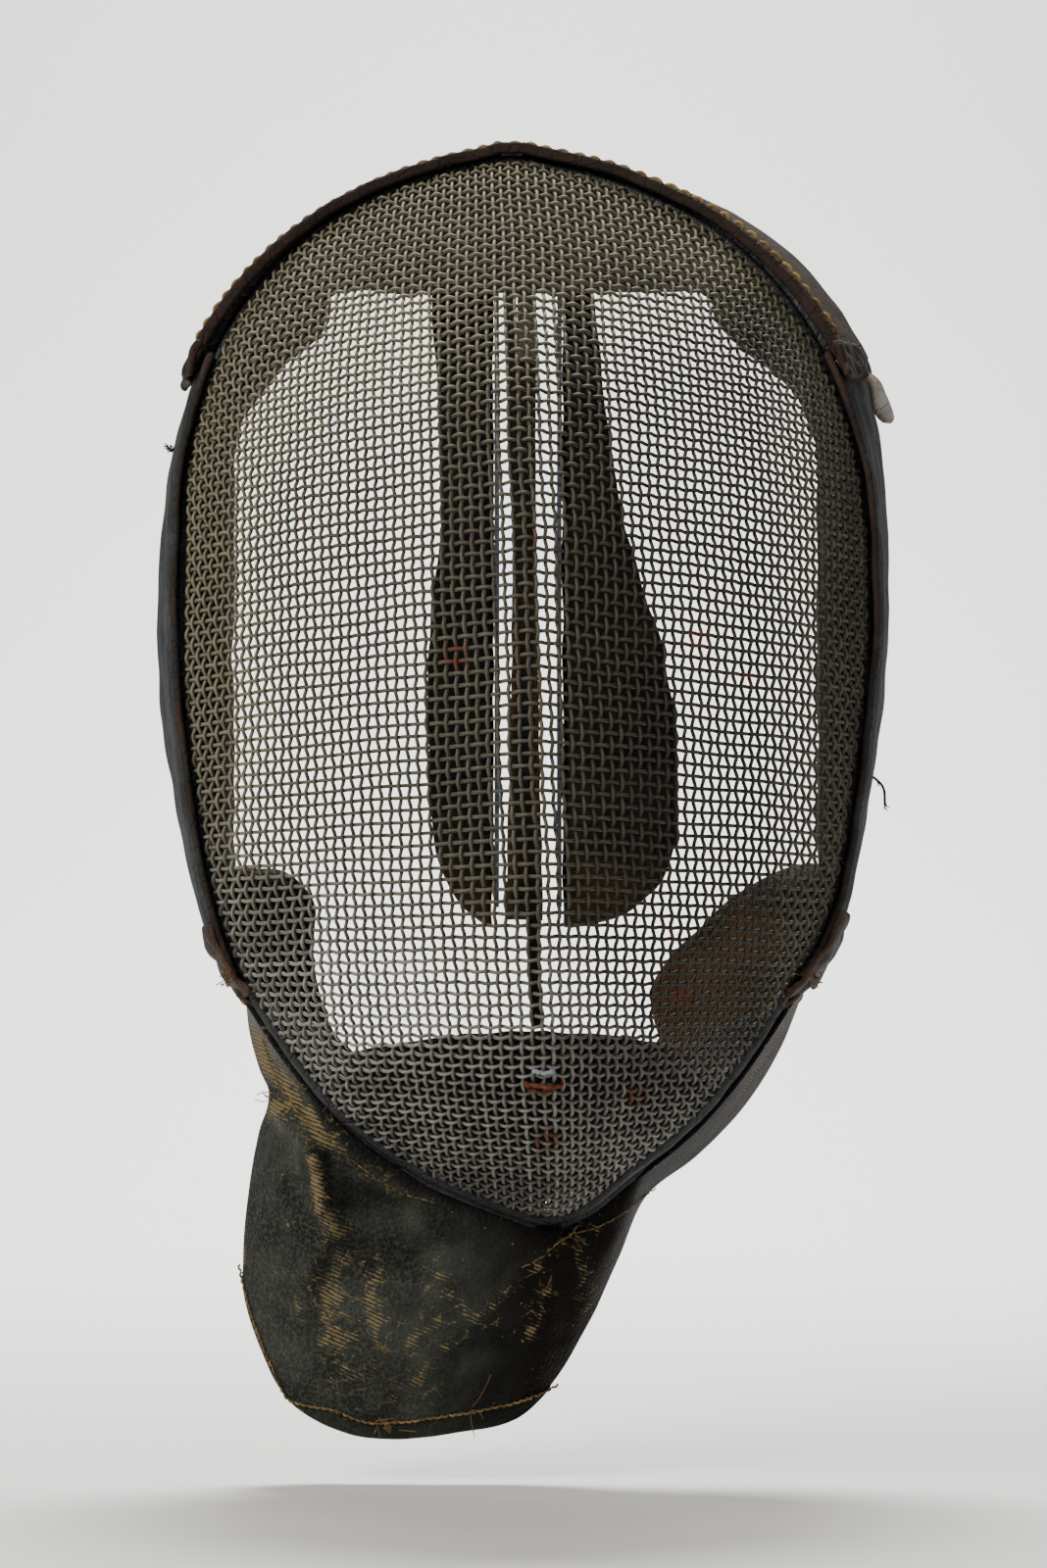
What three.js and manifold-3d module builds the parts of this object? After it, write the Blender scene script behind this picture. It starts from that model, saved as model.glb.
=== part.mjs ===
// An old fencing mask: a wire face with a ridge down its middle, bound round its edge, a stitched leather
// band over the crown, a leather band down each side, padding inside, a sprung tongue and a cloth bib.
// Millimetres, +Z up, +X to the right of someone who looks at the face. The origin is where the crown of a
// head meets the forehead pad. The face looks along -Y and the open back is at +Y.
import * as THREE from 'three';
import { mergeVertices } from 'three/addons/utils/BufferGeometryUtils.js';
import Module from 'manifold-3d';

const wasm = await Module();
wasm.setup();

// Where the head sits: the top of the wire face is this far above it, the front of the ridge this far ahead.
const crownRise = 37;
const frontReach = 115;

// The wire face: from the crown point to the chin point, half its width, and how far its edge lies behind
// the front of the ridge at the crown.
const faceHeight = 304;
const faceHalfWidth = 97;
const faceDepth = 100;
const faceWall = 2;
const openingWidth = 14;
const openingHeight = 15;
const openingSpacing = 18;
const openingRise = 19;
const openingMargin = 2.5;

// Pieces that touch keep this much air between them, and pieces sewn together this much.
const seatGap = 0.35;
const seamGap = 0.6;
const weldDistance = 0.001;

const bindingRadius = 1.7;
const bindingOut = 0.6;
const bindingBack = 2.2;

const barWidth = 3;
const barThickness = 1.5;
const barOffset = 2.5;
const barGap = 1.25;
const barBack = 1.9;
const barTop = 0.03;
const barEnd = 0.827;

const bandThickness = 2;
const bandDepth = 46;
const bandLip = 4;
const bandLipOut = 1;
const bandFlare = 11;
const bandTop = 0.215;
const bandEnd = 0.772;

const crownWidth = 38;
const crownLip = 3;
const crownFlare = 14;
const crownEnd = 0.205;

const liningThickness = 15;
const liningTopThickness = 23;
const liningFront = 12;
const liningBack = 42;
const liningTopBack = 28;
const liningFrontShare = 0.25;
const liningTop = 0.116;
const liningSpread = 0.315;
const liningEnd = 0.66;

const foreheadThickness = 10;
const foreheadBelly = 4;
const foreheadBack = 15;
const foreheadEnd = 0.1;

const flapThickness = 3;
const flapFront = 16;
const flapBack = 30;
const flapBlend = 0.742;

const chinPadThickness = 4;
const chinPadTop = 0.835;
const chinPadEnd = 0.99;
const chinPadDip = 0.03;
const chinPadReach = 0.95;
const chinPadGap = 1.1;

const tongueLength = 192;
const tongueReach = 46;
const tongueBow = 24;
const tongueTop = 8;
const tongueSweep = 0.8;
const tonguePadThickness = 5;
const tonguePadThinning = 0.5;
const tonguePadTip = 1;
const springThickness = 1.4;
const springWidth = 7;
const springLeft = -8.6;
const springRight = 9.9;
const springTop = -0.04;
const springEnd = 0.97;
const yokeThickness = 2.8;
const yokeTop = 38.6;
const stripThickness = 2;

const tabLength = 17;
const tabWidth = 7;
const tabThickness = 2;
const tabPlace = 0.217;
const tabBack = 22;
const tabStandOff = 1.4;
const tabLean = 37;
const tabTurn = 60;
const tabTaper = 0.35;

const bibThickness = 1.6;
const bibLength = 65;
const bibHalfWidth = 83;
const bibDepth = 42;
const bibGap = 1;
const bibTurnStart = 0.93;
const bibTurnEnd = 0.985;

// One row for each level of the face, from the crown point to the chin point. drop is a share of the face's
// height. half, middle and ridge are shares of its half width: the half width there, the middle of the two
// edges, and the ridge, which leans a little. edge and front are shares of its depth, at the edge and ridge.
const faceLevels = [
  { drop: 0.0, half: 0.025, middle: -0.035, ridge: -0.035, edge: 1.0, front: 0.996 },
  { drop: 0.026, half: 0.31, middle: -0.035, ridge: -0.032, edge: 0.976, front: 0.88 },
  { drop: 0.066, half: 0.553, middle: -0.026, ridge: -0.027, edge: 0.944, front: 0.74 },
  { drop: 0.111, half: 0.711, middle: -0.02, ridge: -0.021, edge: 0.904, front: 0.59 },
  { drop: 0.178, half: 0.855, middle: -0.015, ridge: -0.014, edge: 0.864, front: 0.4 },
  { drop: 0.273, half: 0.96, middle: -0.003, ridge: -0.003, edge: 0.824, front: 0.21 },
  { drop: 0.415, half: 0.998, middle: 0.004, ridge: 0.014, edge: 0.776, front: 0.05 },
  { drop: 0.598, half: 0.952, middle: 0.002, ridge: 0.035, edge: 0.768, front: 0.0 },
  { drop: 0.725, half: 0.873, middle: 0.0, ridge: 0.052, edge: 0.776, front: 0.04 },
  { drop: 0.779, half: 0.79, middle: -0.012, ridge: 0.057, edge: 0.784, front: 0.09 },
  { drop: 0.833, half: 0.682, middle: -0.012, ridge: 0.064, edge: 0.792, front: 0.17 },
  { drop: 0.906, half: 0.498, middle: -0.009, ridge: 0.074, edge: 0.816, front: 0.38 },
  { drop: 0.961, half: 0.264, middle: 0.01, ridge: 0.079, edge: 0.84, front: 0.61 },
  { drop: 0.985, half: 0.13, middle: 0.055, ridge: 0.078, edge: 0.86, front: 0.75 },
  { drop: 1.0, half: 0.022, middle: 0.072, ridge: 0.072, edge: 0.872, front: 0.856 },
];

// How far the crown band stands off the wire's edge, along it from its left end (-1) to its right end (1):
// front and back are shares of its flare.
const crownSections = [
  { along: -1.0, front: 0.4, back: 0.66 },
  { along: -0.8, front: 0.3, back: 0.52 },
  { along: -0.5, front: 0.19, back: 0.38 },
  { along: 0, front: 0.19, back: 0.45 },
  { along: 0.2, front: 0.2, back: 0.66 },
  { along: 0.35, front: 0.2, back: 0.77 },
  { along: 0.7, front: 0.23, back: 1.06 },
  { along: 1.0, front: 0.3, back: 1.14 },
];

// How far each side band stands off at its back, as a share of its flare, from its top (0) to its end (1).
const bandSections = [
  { along: 0, left: 0.72, right: 1.04 },
  { along: 0.25, left: 0.78, right: 0.8 },
  { along: 0.55, left: 0.86, right: 0.7 },
  { along: 0.75, left: 0.72, right: 0.6 },
  { along: 0.85, left: 0.64, right: 0.55 },
  { along: 1.0, left: 0.54, right: 0.72 },
];

// The inner edge of each cheek flap, down from its top: reach is a share of the face's half width.
const flapLeft = [
  { drop: 0.676, reach: 0.86 },
  { drop: 0.682, reach: 0.69 },
  { drop: 0.7, reach: 0.635 },
  { drop: 0.735, reach: 0.62 },
  { drop: 0.78, reach: 0.62 },
  { drop: 0.82, reach: 0.59 },
  { drop: 0.858, reach: 0.515 },
];
const flapRight = [
  { drop: 0.672, reach: 0.86 },
  { drop: 0.684, reach: 0.73 },
  { drop: 0.71, reach: 0.6 },
  { drop: 0.745, reach: 0.48 },
  { drop: 0.78, reach: 0.39 },
  { drop: 0.815, reach: 0.385 },
  { drop: 0.858, reach: 0.43 },
];

// The outlines of the tongue's pads: down is a share of its length, reach a share of its widest reach.
const padLeft = [
  { down: 0, reach: 0.6 },
  { down: 0.37, reach: 0.54 },
  { down: 0.54, reach: 0.61 },
  { down: 0.84, reach: 0.59 },
  { down: 0.92, reach: 0.52 },
  { down: 0.97, reach: 0.38 },
  { down: 1, reach: 0.22 },
];
const padRight = [
  { down: 0, reach: 0.43 },
  { down: 0.37, reach: 0.65 },
  { down: 0.59, reach: 0.92 },
  { down: 0.77, reach: 1.0 },
  { down: 0.91, reach: 0.93 },
  { down: 0.975, reach: 0.68 },
  { down: 1, reach: 0.3 },
];
const middleStrip = [
  { down: 0, left: -0.03, right: 0.08 },
  { down: 0.2, left: -0.06, right: 0.08 },
  { down: 0.6, left: -0.08, right: 0.09 },
  { down: 0.97, left: -0.08, right: 0.1 },
];

// The bib from its left end, round under the chin, to its right end. root is where it leaves the wire's
// edge, as a share of the way from crown to chin, negative on the left. x and z are its free edge, as shares
// of its half width from the middle and of its length below the chin point, and back is how far that edge
// lies behind the wire's edge at the chin, as a share of its depth. belly is how far the cloth stands
// forward halfway down, as a share of the same depth.
const bibSections = [
  { root: -0.79, x: -0.97, z: -0.965, back: 0.86, belly: 0 },
  { root: -0.83, x: -0.955, z: -0.8, back: 0.84, belly: 0 },
  { root: -0.865, x: -0.92, z: -0.64, back: 0.78, belly: 0 },
  { root: -0.885, x: -0.88, z: -0.52, back: 0.66, belly: 0.02 },
  { root: -0.9, x: -0.915, z: -0.36, back: 0.6, belly: 0.12 },
  { root: -0.913, x: -0.948, z: -0.12, back: 0.55, belly: 0.2 },
  { root: -0.926, x: -0.967, z: 0.16, back: 0.5, belly: 0.22 },
  { root: -0.938, x: -0.96, z: 0.36, back: 0.46, belly: 0.2 },
  { root: -0.95, x: -0.9, z: 0.6, back: 0.42, belly: 0.16 },
  { root: -0.961, x: -0.8, z: 0.82, back: 0.38, belly: 0.16 },
  { root: -0.971, x: -0.65, z: 0.935, back: 0.35, belly: 0.2 },
  { root: -0.98, x: -0.48, z: 0.975, back: 0.33, belly: 0.22 },
  { root: -0.99, x: -0.25, z: 0.95, back: 0.32, belly: 0.2 },
  { root: 0.996, x: -0.03, z: 0.89, back: 0.33, belly: 0.14 },
  { root: 0.986, x: 0.08, z: 0.76, back: 0.36, belly: 0.12 },
  { root: 0.972, x: 0.2, z: 0.52, back: 0.42, belly: 0.12 },
  { root: 0.958, x: 0.32, z: 0.2, back: 0.5, belly: 0.1 },
  { root: 0.944, x: 0.42, z: -0.08, back: 0.58, belly: 0.02 },
  { root: 0.915, x: 0.6, z: -0.26, back: 0.68, belly: 0 },
  { root: 0.88, x: 0.77, z: -0.48, back: 0.76, belly: 0 },
  { root: 0.84, x: 0.89, z: -0.72, back: 0.84, belly: 0 },
  { root: 0.79, x: 0.975, z: -0.98, back: 0.86, belly: 0 },
];

// A smooth run through a table's rows. positionOf says how far along each row lies, and the result gives
// every column at any place from the first row to the last.
function runThrough(table, positionOf) {
  const columns = Object.keys(table[0]);
  const values = table.flatMap((row) => columns.map((name) => row[name]));
  const curve = new THREE.CubicInterpolant(table.map(positionOf), values, columns.length, []);
  return (position) => {
    const found = curve.evaluate(position);
    return Object.fromEntries(columns.map((name, i) => [name, found[i]]));
  };
}

// A table's rows spaced by the length of its outline, from 0 to 1, where outline gives a row's place.
function runAlong(table, outline) {
  const reached = [0];
  table.slice(1).forEach((row, i) => {
    const [a, b] = [outline(table[i]), outline(row)];
    reached.push(reached[i] + Math.hypot(b[0] - a[0], b[1] - a[1]));
  });
  return runThrough(table, (row) => reached[table.indexOf(row)] / reached.at(-1));
}

const outwardFacing = (geometry) => {
  const [a, b, c] = [new THREE.Vector3(), new THREE.Vector3(), new THREE.Vector3()];
  const place = geometry.getAttribute('position');
  const order = geometry.index.array;
  let volume = 0;
  for (let i = 0; i < order.length; i += 3) {
    a.fromBufferAttribute(place, order[i]);
    b.fromBufferAttribute(place, order[i + 1]);
    c.fromBufferAttribute(place, order[i + 2]);
    volume += a.dot(b.cross(c));
  }
  if (volume < 0) geometry.setIndex([...order].reverse());
  return geometry;
};

// A closed wall with an outer face (side 0) and an inner face (side 1), joined round its borders. pointAt
// takes shares of the way along its rows and columns, and the side.
function wall(rows, columns, pointAt) {
  const across = columns + 1;
  const corners = [];
  for (const side of [0, 1]) {
    for (let i = 0; i <= rows; i++) {
      for (let j = 0; j < across; j++) corners.push(...pointAt(i / rows, j / columns, side).toArray());
    }
  }
  const corner = (i, j, side) => (side * (rows + 1) + i) * across + j;
  const order = [];
  const quad = (a, b, c, d) => order.push(a, b, c, a, c, d);
  for (let i = 0; i < rows; i++) {
    for (let j = 0; j < columns; j++) {
      quad(corner(i, j, 0), corner(i + 1, j, 0), corner(i + 1, j + 1, 0), corner(i, j + 1, 0));
      quad(corner(i, j, 1), corner(i, j + 1, 1), corner(i + 1, j + 1, 1), corner(i + 1, j, 1));
    }
  }
  for (let j = 0; j < columns; j++) {
    quad(corner(0, j, 0), corner(0, j + 1, 0), corner(0, j + 1, 1), corner(0, j, 1));
    quad(corner(rows, j + 1, 0), corner(rows, j, 0), corner(rows, j, 1), corner(rows, j + 1, 1));
  }
  for (let i = 0; i < rows; i++) {
    quad(corner(i + 1, 0, 0), corner(i, 0, 0), corner(i, 0, 1), corner(i + 1, 0, 1));
    quad(corner(i, columns, 0), corner(i + 1, columns, 0), corner(i + 1, columns, 1), corner(i, columns, 1));
  }
  const geometry = new THREE.BufferGeometry();
  geometry.setAttribute('position', new THREE.Float32BufferAttribute(corners, 3));
  geometry.setIndex(order);
  return outwardFacing(geometry);
}

// A round cord swept along a closed loop of stations. frameAt gives a station's centre and its two radii.
function closedCord(stations, sides, frameAt) {
  const corners = [];
  for (let i = 0; i < stations; i++) {
    const { centre, first, second } = frameAt(i);
    for (let j = 0; j < sides; j++) {
      const turn = (2 * Math.PI * j) / sides;
      const point = centre.clone().addScaledVector(first, Math.cos(turn));
      corners.push(...point.addScaledVector(second, Math.sin(turn)).toArray());
    }
  }
  const corner = (i, j) => (i % stations) * sides + (j % sides);
  const order = [];
  for (let i = 0; i < stations; i++) {
    for (let j = 0; j < sides; j++) {
      order.push(corner(i, j), corner(i + 1, j), corner(i + 1, j + 1));
      order.push(corner(i, j), corner(i + 1, j + 1), corner(i, j + 1));
    }
  }
  const geometry = new THREE.BufferGeometry();
  geometry.setAttribute('position', new THREE.Float32BufferAttribute(corners, 3));
  geometry.setIndex(order);
  return outwardFacing(geometry);
}

function solidFrom(geometry) {
  const bare = geometry.clone();
  bare.deleteAttribute('normal');
  bare.deleteAttribute('uv');
  const merged = mergeVertices(bare, weldDistance);
  const vertProperties = new Float32Array(merged.getAttribute('position').array);
  const triVerts = new Uint32Array(merged.index.array);
  return new wasm.Manifold(new wasm.Mesh({ numProp: 3, vertProperties, triVerts }));
}

function geometryFrom(solid) {
  const mesh = solid.getMesh();
  const geometry = new THREE.BufferGeometry();
  geometry.setAttribute('position', new THREE.Float32BufferAttribute(mesh.vertProperties, 3));
  geometry.setIndex(new THREE.BufferAttribute(mesh.triVerts, 1));
  return geometry;
}

const heightAt = (drop) => crownRise - drop * faceHeight;
const depthAt = (share) => share * faceDepth - frontReach;

const levelAlong = runAlong(faceLevels, (row) => [row.half * faceHalfWidth, row.drop * faceHeight]);
const levelAtDrop = runThrough(faceLevels, (row) => row.drop);

// How the wire falls back from the ridge to its edge: creased at the ridge, then round, steep at the edge.
const fallBack = (share) => {
  const crease = 0.5;
  const round = 0.35;
  return crease * share + round * share ** 2 + (1 - crease - round) * share ** 6;
};

// A point of the wire's outer face: along runs from crown to chin, across from the left edge to the right.
function facePoint(along, across) {
  const level = levelAlong(along);
  const edge = level.middle + Math.sign(across) * level.half;
  const share = Math.abs(across);
  const x = faceHalfWidth * (level.ridge + share * (edge - level.ridge));
  const y = depthAt(level.front + (level.edge - level.front) * fallBack(share));
  return new THREE.Vector3(x, y, heightAt(level.drop));
}

// The same point moved inwards, square to the wire.
function insideFace(along, across, inset) {
  const step = 0.01;
  const [above, below] = [Math.max(along - step, 0), Math.min(along + step, 1)];
  const [left, right] = [Math.max(across - step, -1), Math.min(across + step, 1)];
  const down = facePoint(below, across).sub(facePoint(above, across));
  const over = facePoint(along, right).sub(facePoint(along, left));
  const inward = down.cross(over).normalize();
  if (inward.y < 0) inward.negate();
  return facePoint(along, across).addScaledVector(inward, inset);
}

// A point by the wire's edge: out is square to the edge, away from the face, and back towards the open side.
function edgePoint(side, along, out, back) {
  const step = 0.006;
  const before = facePoint(Math.max(along - step, 0), side);
  const after = facePoint(Math.min(along + step, 1), side);
  const run = after.sub(before);
  const away = new THREE.Vector3(-run.z, 0, run.x).normalize().multiplyScalar(side);
  return facePoint(along, side).addScaledVector(away, out).add(new THREE.Vector3(0, back, 0));
}

const blend = THREE.MathUtils.lerp;

// The place along the wire's edge, from crown to chin, that lies a share of the face's height down.
function alongAtDrop(drop) {
  const closeEnough = 1e-6;
  let [low, high] = [0, 1];
  while (high - low > closeEnough) {
    const middle = (low + high) / 2;
    if (levelAlong(middle).drop < drop) low = middle;
    else high = middle;
  }
  return low;
}

function wireFace() {
  const shell = wall(16, 12, (along, across, side) => insideFace(along, 2 * across - 1, side * faceWall));
  const rows = Math.floor(faceHeight / openingRise);
  const perSide = Math.floor(faceHalfWidth / openingSpacing);
  const firstDrop = (faceHeight - (rows - 1) * openingRise) / 2;
  let solid = solidFrom(shell);
  for (let row = 0; row < rows; row++) {
    const drop = (firstDrop + row * openingRise) / faceHeight;
    const centre = levelAtDrop(drop);
    for (let column = -perSide; column < perSide; column++) {
      const x = centre.ridge * faceHalfWidth + (column + 0.5) * openingSpacing;
      const fits = [-1, 1].every((end) => {
        const level = levelAtDrop(drop + (end * openingHeight) / (2 * faceHeight));
        const reach = level.half * faceHalfWidth - openingMargin - openingWidth / 2;
        return Math.abs(x - level.middle * faceHalfWidth) < reach;
      });
      if (!fits) continue;
      const cutter = new THREE.BoxGeometry(openingWidth, 4 * faceDepth, openingHeight);
      cutter.translate(x, 0, heightAt(drop));
      solid = solid.subtract(solidFrom(cutter));
    }
  }
  return geometryFrom(solid);
}

function rimBinding() {
  const half = 26;
  return closedCord(2 * half, 6, (i) => {
    const side = i < half ? 1 : -1;
    const along = side > 0 ? i / (half - 1) : (2 * half - 1 - i) / (half - 1);
    const centre = edgePoint(side, along, bindingOut, bindingBack);
    const first = edgePoint(side, along, bindingOut + bindingRadius, bindingBack).sub(centre);
    return { centre, first, second: new THREE.Vector3(0, bindingRadius, 0) };
  });
}

function ridgeBar() {
  const section = new THREE.Shape();
  section.moveTo(-barWidth / 2, -barThickness / 2);
  section.lineTo(barWidth / 2, -barThickness / 2);
  section.lineTo(barWidth / 2, barThickness / 2);
  section.lineTo(-barWidth / 2, barThickness / 2);
  const route = [];
  const inset = faceWall + barGap + barThickness / 2;
  const points = 20;
  for (let i = 0; i <= points; i++) {
    const along = alongAtDrop(blend(barTop, barEnd, i / points));
    route.push(insideFace(along, 0, inset).add(new THREE.Vector3(-barOffset, barBack, 0)));
  }
  return new THREE.ExtrudeGeometry(section, {
    steps: points,
    bevelEnabled: false,
    extrudePath: new THREE.CatmullRomCurve3(route),
  });
}

const crownAlong = runThrough(crownSections, (row) => row.along);
const bandAlong = runThrough(bandSections, (row) => row.along);

// How far the crown band's inner face stands off the wire's edge.
function crownOut(along, back) {
  const standOff = crownAlong(along);
  return crownFlare * blend(standOff.front, standOff.back, (back + crownLip) / crownWidth);
}

function crownBand() {
  const end = alongAtDrop(crownEnd);
  return wall(28, 3, (u, v, side) => {
    const along = 2 * u - 1;
    const back = crownWidth * v - crownLip;
    const out = crownOut(along, back) + side * bandThickness;
    return edgePoint(Math.sign(along) || 1, Math.abs(along) * end, out, back);
  });
}

// How far a side band's inner face stands off the wire's edge, at a place along the edge and behind it.
function bandOut(side, along, back) {
  const share = THREE.MathUtils.clamp((levelAlong(along).drop - bandTop) / (bandEnd - bandTop), 0, 1);
  const flare = bandFlare * (side < 0 ? bandAlong(share).left : bandAlong(share).right);
  const clearOut = bindingOut + bindingRadius + seamGap;
  if (back < bindingBack) return blend(bandLipOut, clearOut, (back + bandLip) / (bindingBack + bandLip));
  return blend(clearOut, flare, (back - bindingBack) / (bandDepth - bindingBack));
}

function sideBand(side) {
  const steps = [-bandLip, bindingBack, bandDepth / 3, (2 * bandDepth) / 3, bandDepth];
  return wall(20, steps.length - 1, (u, v, face) => {
    const along = blend(alongAtDrop(bandTop), alongAtDrop(bandEnd), u);
    const back = steps[Math.round(v * (steps.length - 1))];
    return edgePoint(side, along, bandOut(side, along, back) + face * bandThickness, back);
  });
}

function sideLining(side) {
  return wall(16, 4, (u, v, face) => {
    const along = blend(alongAtDrop(liningTop), alongAtDrop(liningEnd), u);
    const spread = THREE.MathUtils.smoothstep(levelAlong(along).drop, liningTop, liningSpread);
    const back = blend(liningFront, blend(liningTopBack, liningBack, spread), v);
    const outer = bandOut(side, along, back) - seamGap;
    const thickness = blend(liningTopThickness, liningThickness, spread);
    const round = Math.sin((Math.PI / 2) * Math.min(1, 2 * v + liningFrontShare));
    return edgePoint(side, along, outer - face * thickness * round, back);
  });
}

// The forehead pad: its top follows the crown band, its lower edge is level with the origin.
function foreheadPad() {
  const end = alongAtDrop(foreheadEnd);
  return wall(16, 4, (u, v, face) => {
    const along = 2 * u - 1;
    const out = crownOut(0, foreheadBack - foreheadThickness) - seamGap;
    const back = foreheadBack - (1 - face) * foreheadThickness;
    const top = edgePoint(Math.sign(along) || 1, Math.abs(along) * end, out, back);
    const belly = foreheadBelly * Math.sin(Math.PI * v) * (top.z / crownRise) * (1 - face);
    return new THREE.Vector3(top.x, top.y - belly, blend(top.z, 0, v));
  });
}

function cheekFlap(side, outline) {
  const edge = runAlong(outline, (row) => [row.reach * faceHalfWidth, row.drop * faceHeight]);
  return wall(12, 3, (u, v, face) => {
    const { drop, reach } = edge(u);
    const along = alongAtDrop(drop);
    const free = bindingOut + bindingRadius + seatGap;
    const sewn = bandOut(side, along, flapFront) - seamGap;
    const out = blend(sewn, free, THREE.MathUtils.smoothstep(drop, flapBlend, bandEnd));
    const outer = edgePoint(side, along, out, flapFront);
    const innerBack = outer.y + flapBack - flapFront;
    const inner = new THREE.Vector3(side * reach * faceHalfWidth, innerBack, heightAt(drop));
    const point = outer.lerp(inner, v);
    return point.add(new THREE.Vector3(0, face * flapThickness, 0));
  });
}

function chinPad() {
  const [high, low] = [alongAtDrop(chinPadTop), alongAtDrop(chinPadEnd)];
  return wall(6, 10, (u, v, face) => {
    const across = blend(-chinPadReach, chinPadReach, v);
    const top = high + chinPadDip * across ** 2;
    const inset = faceWall + chinPadGap + face * chinPadThickness;
    return insideFace(blend(top, low, u), across, inset);
  });
}

// Where the tongue runs, down its length: it is fixed behind the forehead pad and bows back.
const tongueStart = depthAt(1) + foreheadBack + seatGap;
const tonguePlane = (down) => tongueStart + tongueBow * Math.sin(tongueSweep * Math.PI * Math.max(down, 0));
const tongueHeight = (down) => tongueTop - down * tongueLength;

function tonguePad(side, outline, root) {
  const edge = runAlong(outline, (row) => [row.reach * tongueReach, row.down * tongueLength]);
  const inner = Math.abs(root) + seatGap + (side > 0 ? springThickness : 0);
  return wall(16, 4, (u, v, face) => {
    const { down, reach } = edge(u);
    const x = side * blend(inner, Math.max(reach * tongueReach, inner + tonguePadTip), v);
    const crown = 1 - tonguePadThinning * Math.abs(2 * v - 1) ** 3;
    const y = tonguePlane(down) + springWidth / 2 + (face - 0.5) * tonguePadThickness * crown;
    return new THREE.Vector3(x, y, tongueHeight(down));
  });
}

function tongueSpring() {
  const prong = (left) =>
    wall(16, 1, (u, v, face) => {
      const down = blend(springTop, springEnd, u);
      const y = tonguePlane(down) + v * springWidth;
      return new THREE.Vector3(left + face * springThickness, y, tongueHeight(down));
    });
  const yoke = wall(4, 4, (u, v, face) => {
    const z = blend(yokeTop, tongueTop + seatGap, u);
    const x = blend(springLeft, springRight + springThickness, v);
    return new THREE.Vector3(x, tonguePlane(0) + face * yokeThickness, z);
  });
  const joined = solidFrom(yoke).add(solidFrom(prong(springLeft))).add(solidFrom(prong(springRight)));
  return geometryFrom(joined);
}

function tongueStrip() {
  const edge = runAlong(middleStrip, (row) => [row.left * tongueReach, row.down * tongueLength]);
  return wall(12, 2, (u, v, face) => {
    const { down, left, right } = edge(u);
    const x = blend(left, right, v) * tongueReach;
    return new THREE.Vector3(x, tonguePlane(down) + face * stripThickness, tongueHeight(down));
  });
}

function strapTab() {
  const place = alongAtDrop(tabPlace);
  const top = edgePoint(1, place, bandOut(1, place, tabBack) + bandThickness + tabStandOff, tabBack);
  const [lean, turn] = [tabLean, tabTurn].map(THREE.MathUtils.degToRad);
  const down = new THREE.Vector3(Math.sin(lean), 0, -Math.cos(lean));
  const wide = new THREE.Vector3(Math.cos(turn), Math.sin(turn), 0);
  const thick = new THREE.Vector3().crossVectors(wide, down).normalize();
  if (thick.x < 0) thick.negate();
  return wall(5, 2, (u, v, face) => {
    const narrow = 1 - tabTaper * u ** 3;
    return top
      .clone()
      .addScaledVector(down, u * tabLength)
      .addScaledVector(wide, (v - 0.5) * tabWidth * narrow)
      .addScaledVector(thick, face * tabThickness);
  });
}

function bib() {
  const place = (row) => [row.x * bibHalfWidth, row.z * bibLength];
  const sections = bibSections.map((row, i) => ({ ...row, order: i }));
  const station = runAlong(sections, place);
  const chin = edgePoint(1, 1, 0, 0);
  const rootAt = (row) => {
    const drop = Math.abs(row.root);
    const turn = (Math.PI / 2) * THREE.MathUtils.smoothstep(drop, bibTurnStart, bibTurnEnd);
    const reach = bindingRadius + bibGap + bibThickness * Math.sin(turn);
    const out = bindingOut + reach * Math.cos(turn);
    return edgePoint(Math.sign(row.root), alongAtDrop(drop), out, bindingBack + reach * Math.sin(turn));
  };
  const roots = sections.map(rootAt);
  const rootCurve = new THREE.CatmullRomCurve3(roots);
  const surface = (u, v) => {
    const row = station(u);
    const root = rootCurve.getPoint(row.order / (sections.length - 1));
    const edgeZ = chin.z - row.z * bibLength;
    const edge = new THREE.Vector3(row.x * bibHalfWidth, chin.y + row.back * bibDepth, edgeZ);
    const point = root.clone().lerp(edge, v);
    point.y -= row.belly * bibDepth * Math.sin(Math.PI * v);
    return point;
  };
  return wall(34, 5, (u, v, face) => {
    const step = 0.01;
    const around = surface(Math.min(u + step, 1), v).sub(surface(Math.max(u - step, 0), v));
    const down = surface(u, Math.min(v + step, 1)).sub(surface(u, Math.max(v - step, 0)));
    const behind = around.cross(down).normalize();
    return surface(u, v).addScaledVector(behind, -face * bibThickness);
  });
}

const finishes = {
  wire: { color: 0x6b675c, roughness: 0.5, metalness: 0.75 },
  steel: { color: 0x8b929a, roughness: 0.35, metalness: 0.9 },
  rust: { color: 0x2b221d, roughness: 0.8, metalness: 0.3 },
  blackLeather: { color: 0x2b2b2d, roughness: 0.6, metalness: 0 },
  brownLeather: { color: 0x4a3830, roughness: 0.75, metalness: 0 },
  padding: { color: 0x4b483f, roughness: 0.9, metalness: 0 },
  paleLeather: { color: 0xb5aaa4, roughness: 0.8, metalness: 0 },
  cloth: { color: 0x2e2c2a, roughness: 0.8, metalness: 0 },
};

const mask = new THREE.Group();
const add = (name, geometry, finish) => {
  const piece = new THREE.Mesh(geometry, new THREE.MeshStandardMaterial(finishes[finish]));
  piece.name = name;
  mask.add(piece);
};

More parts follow.
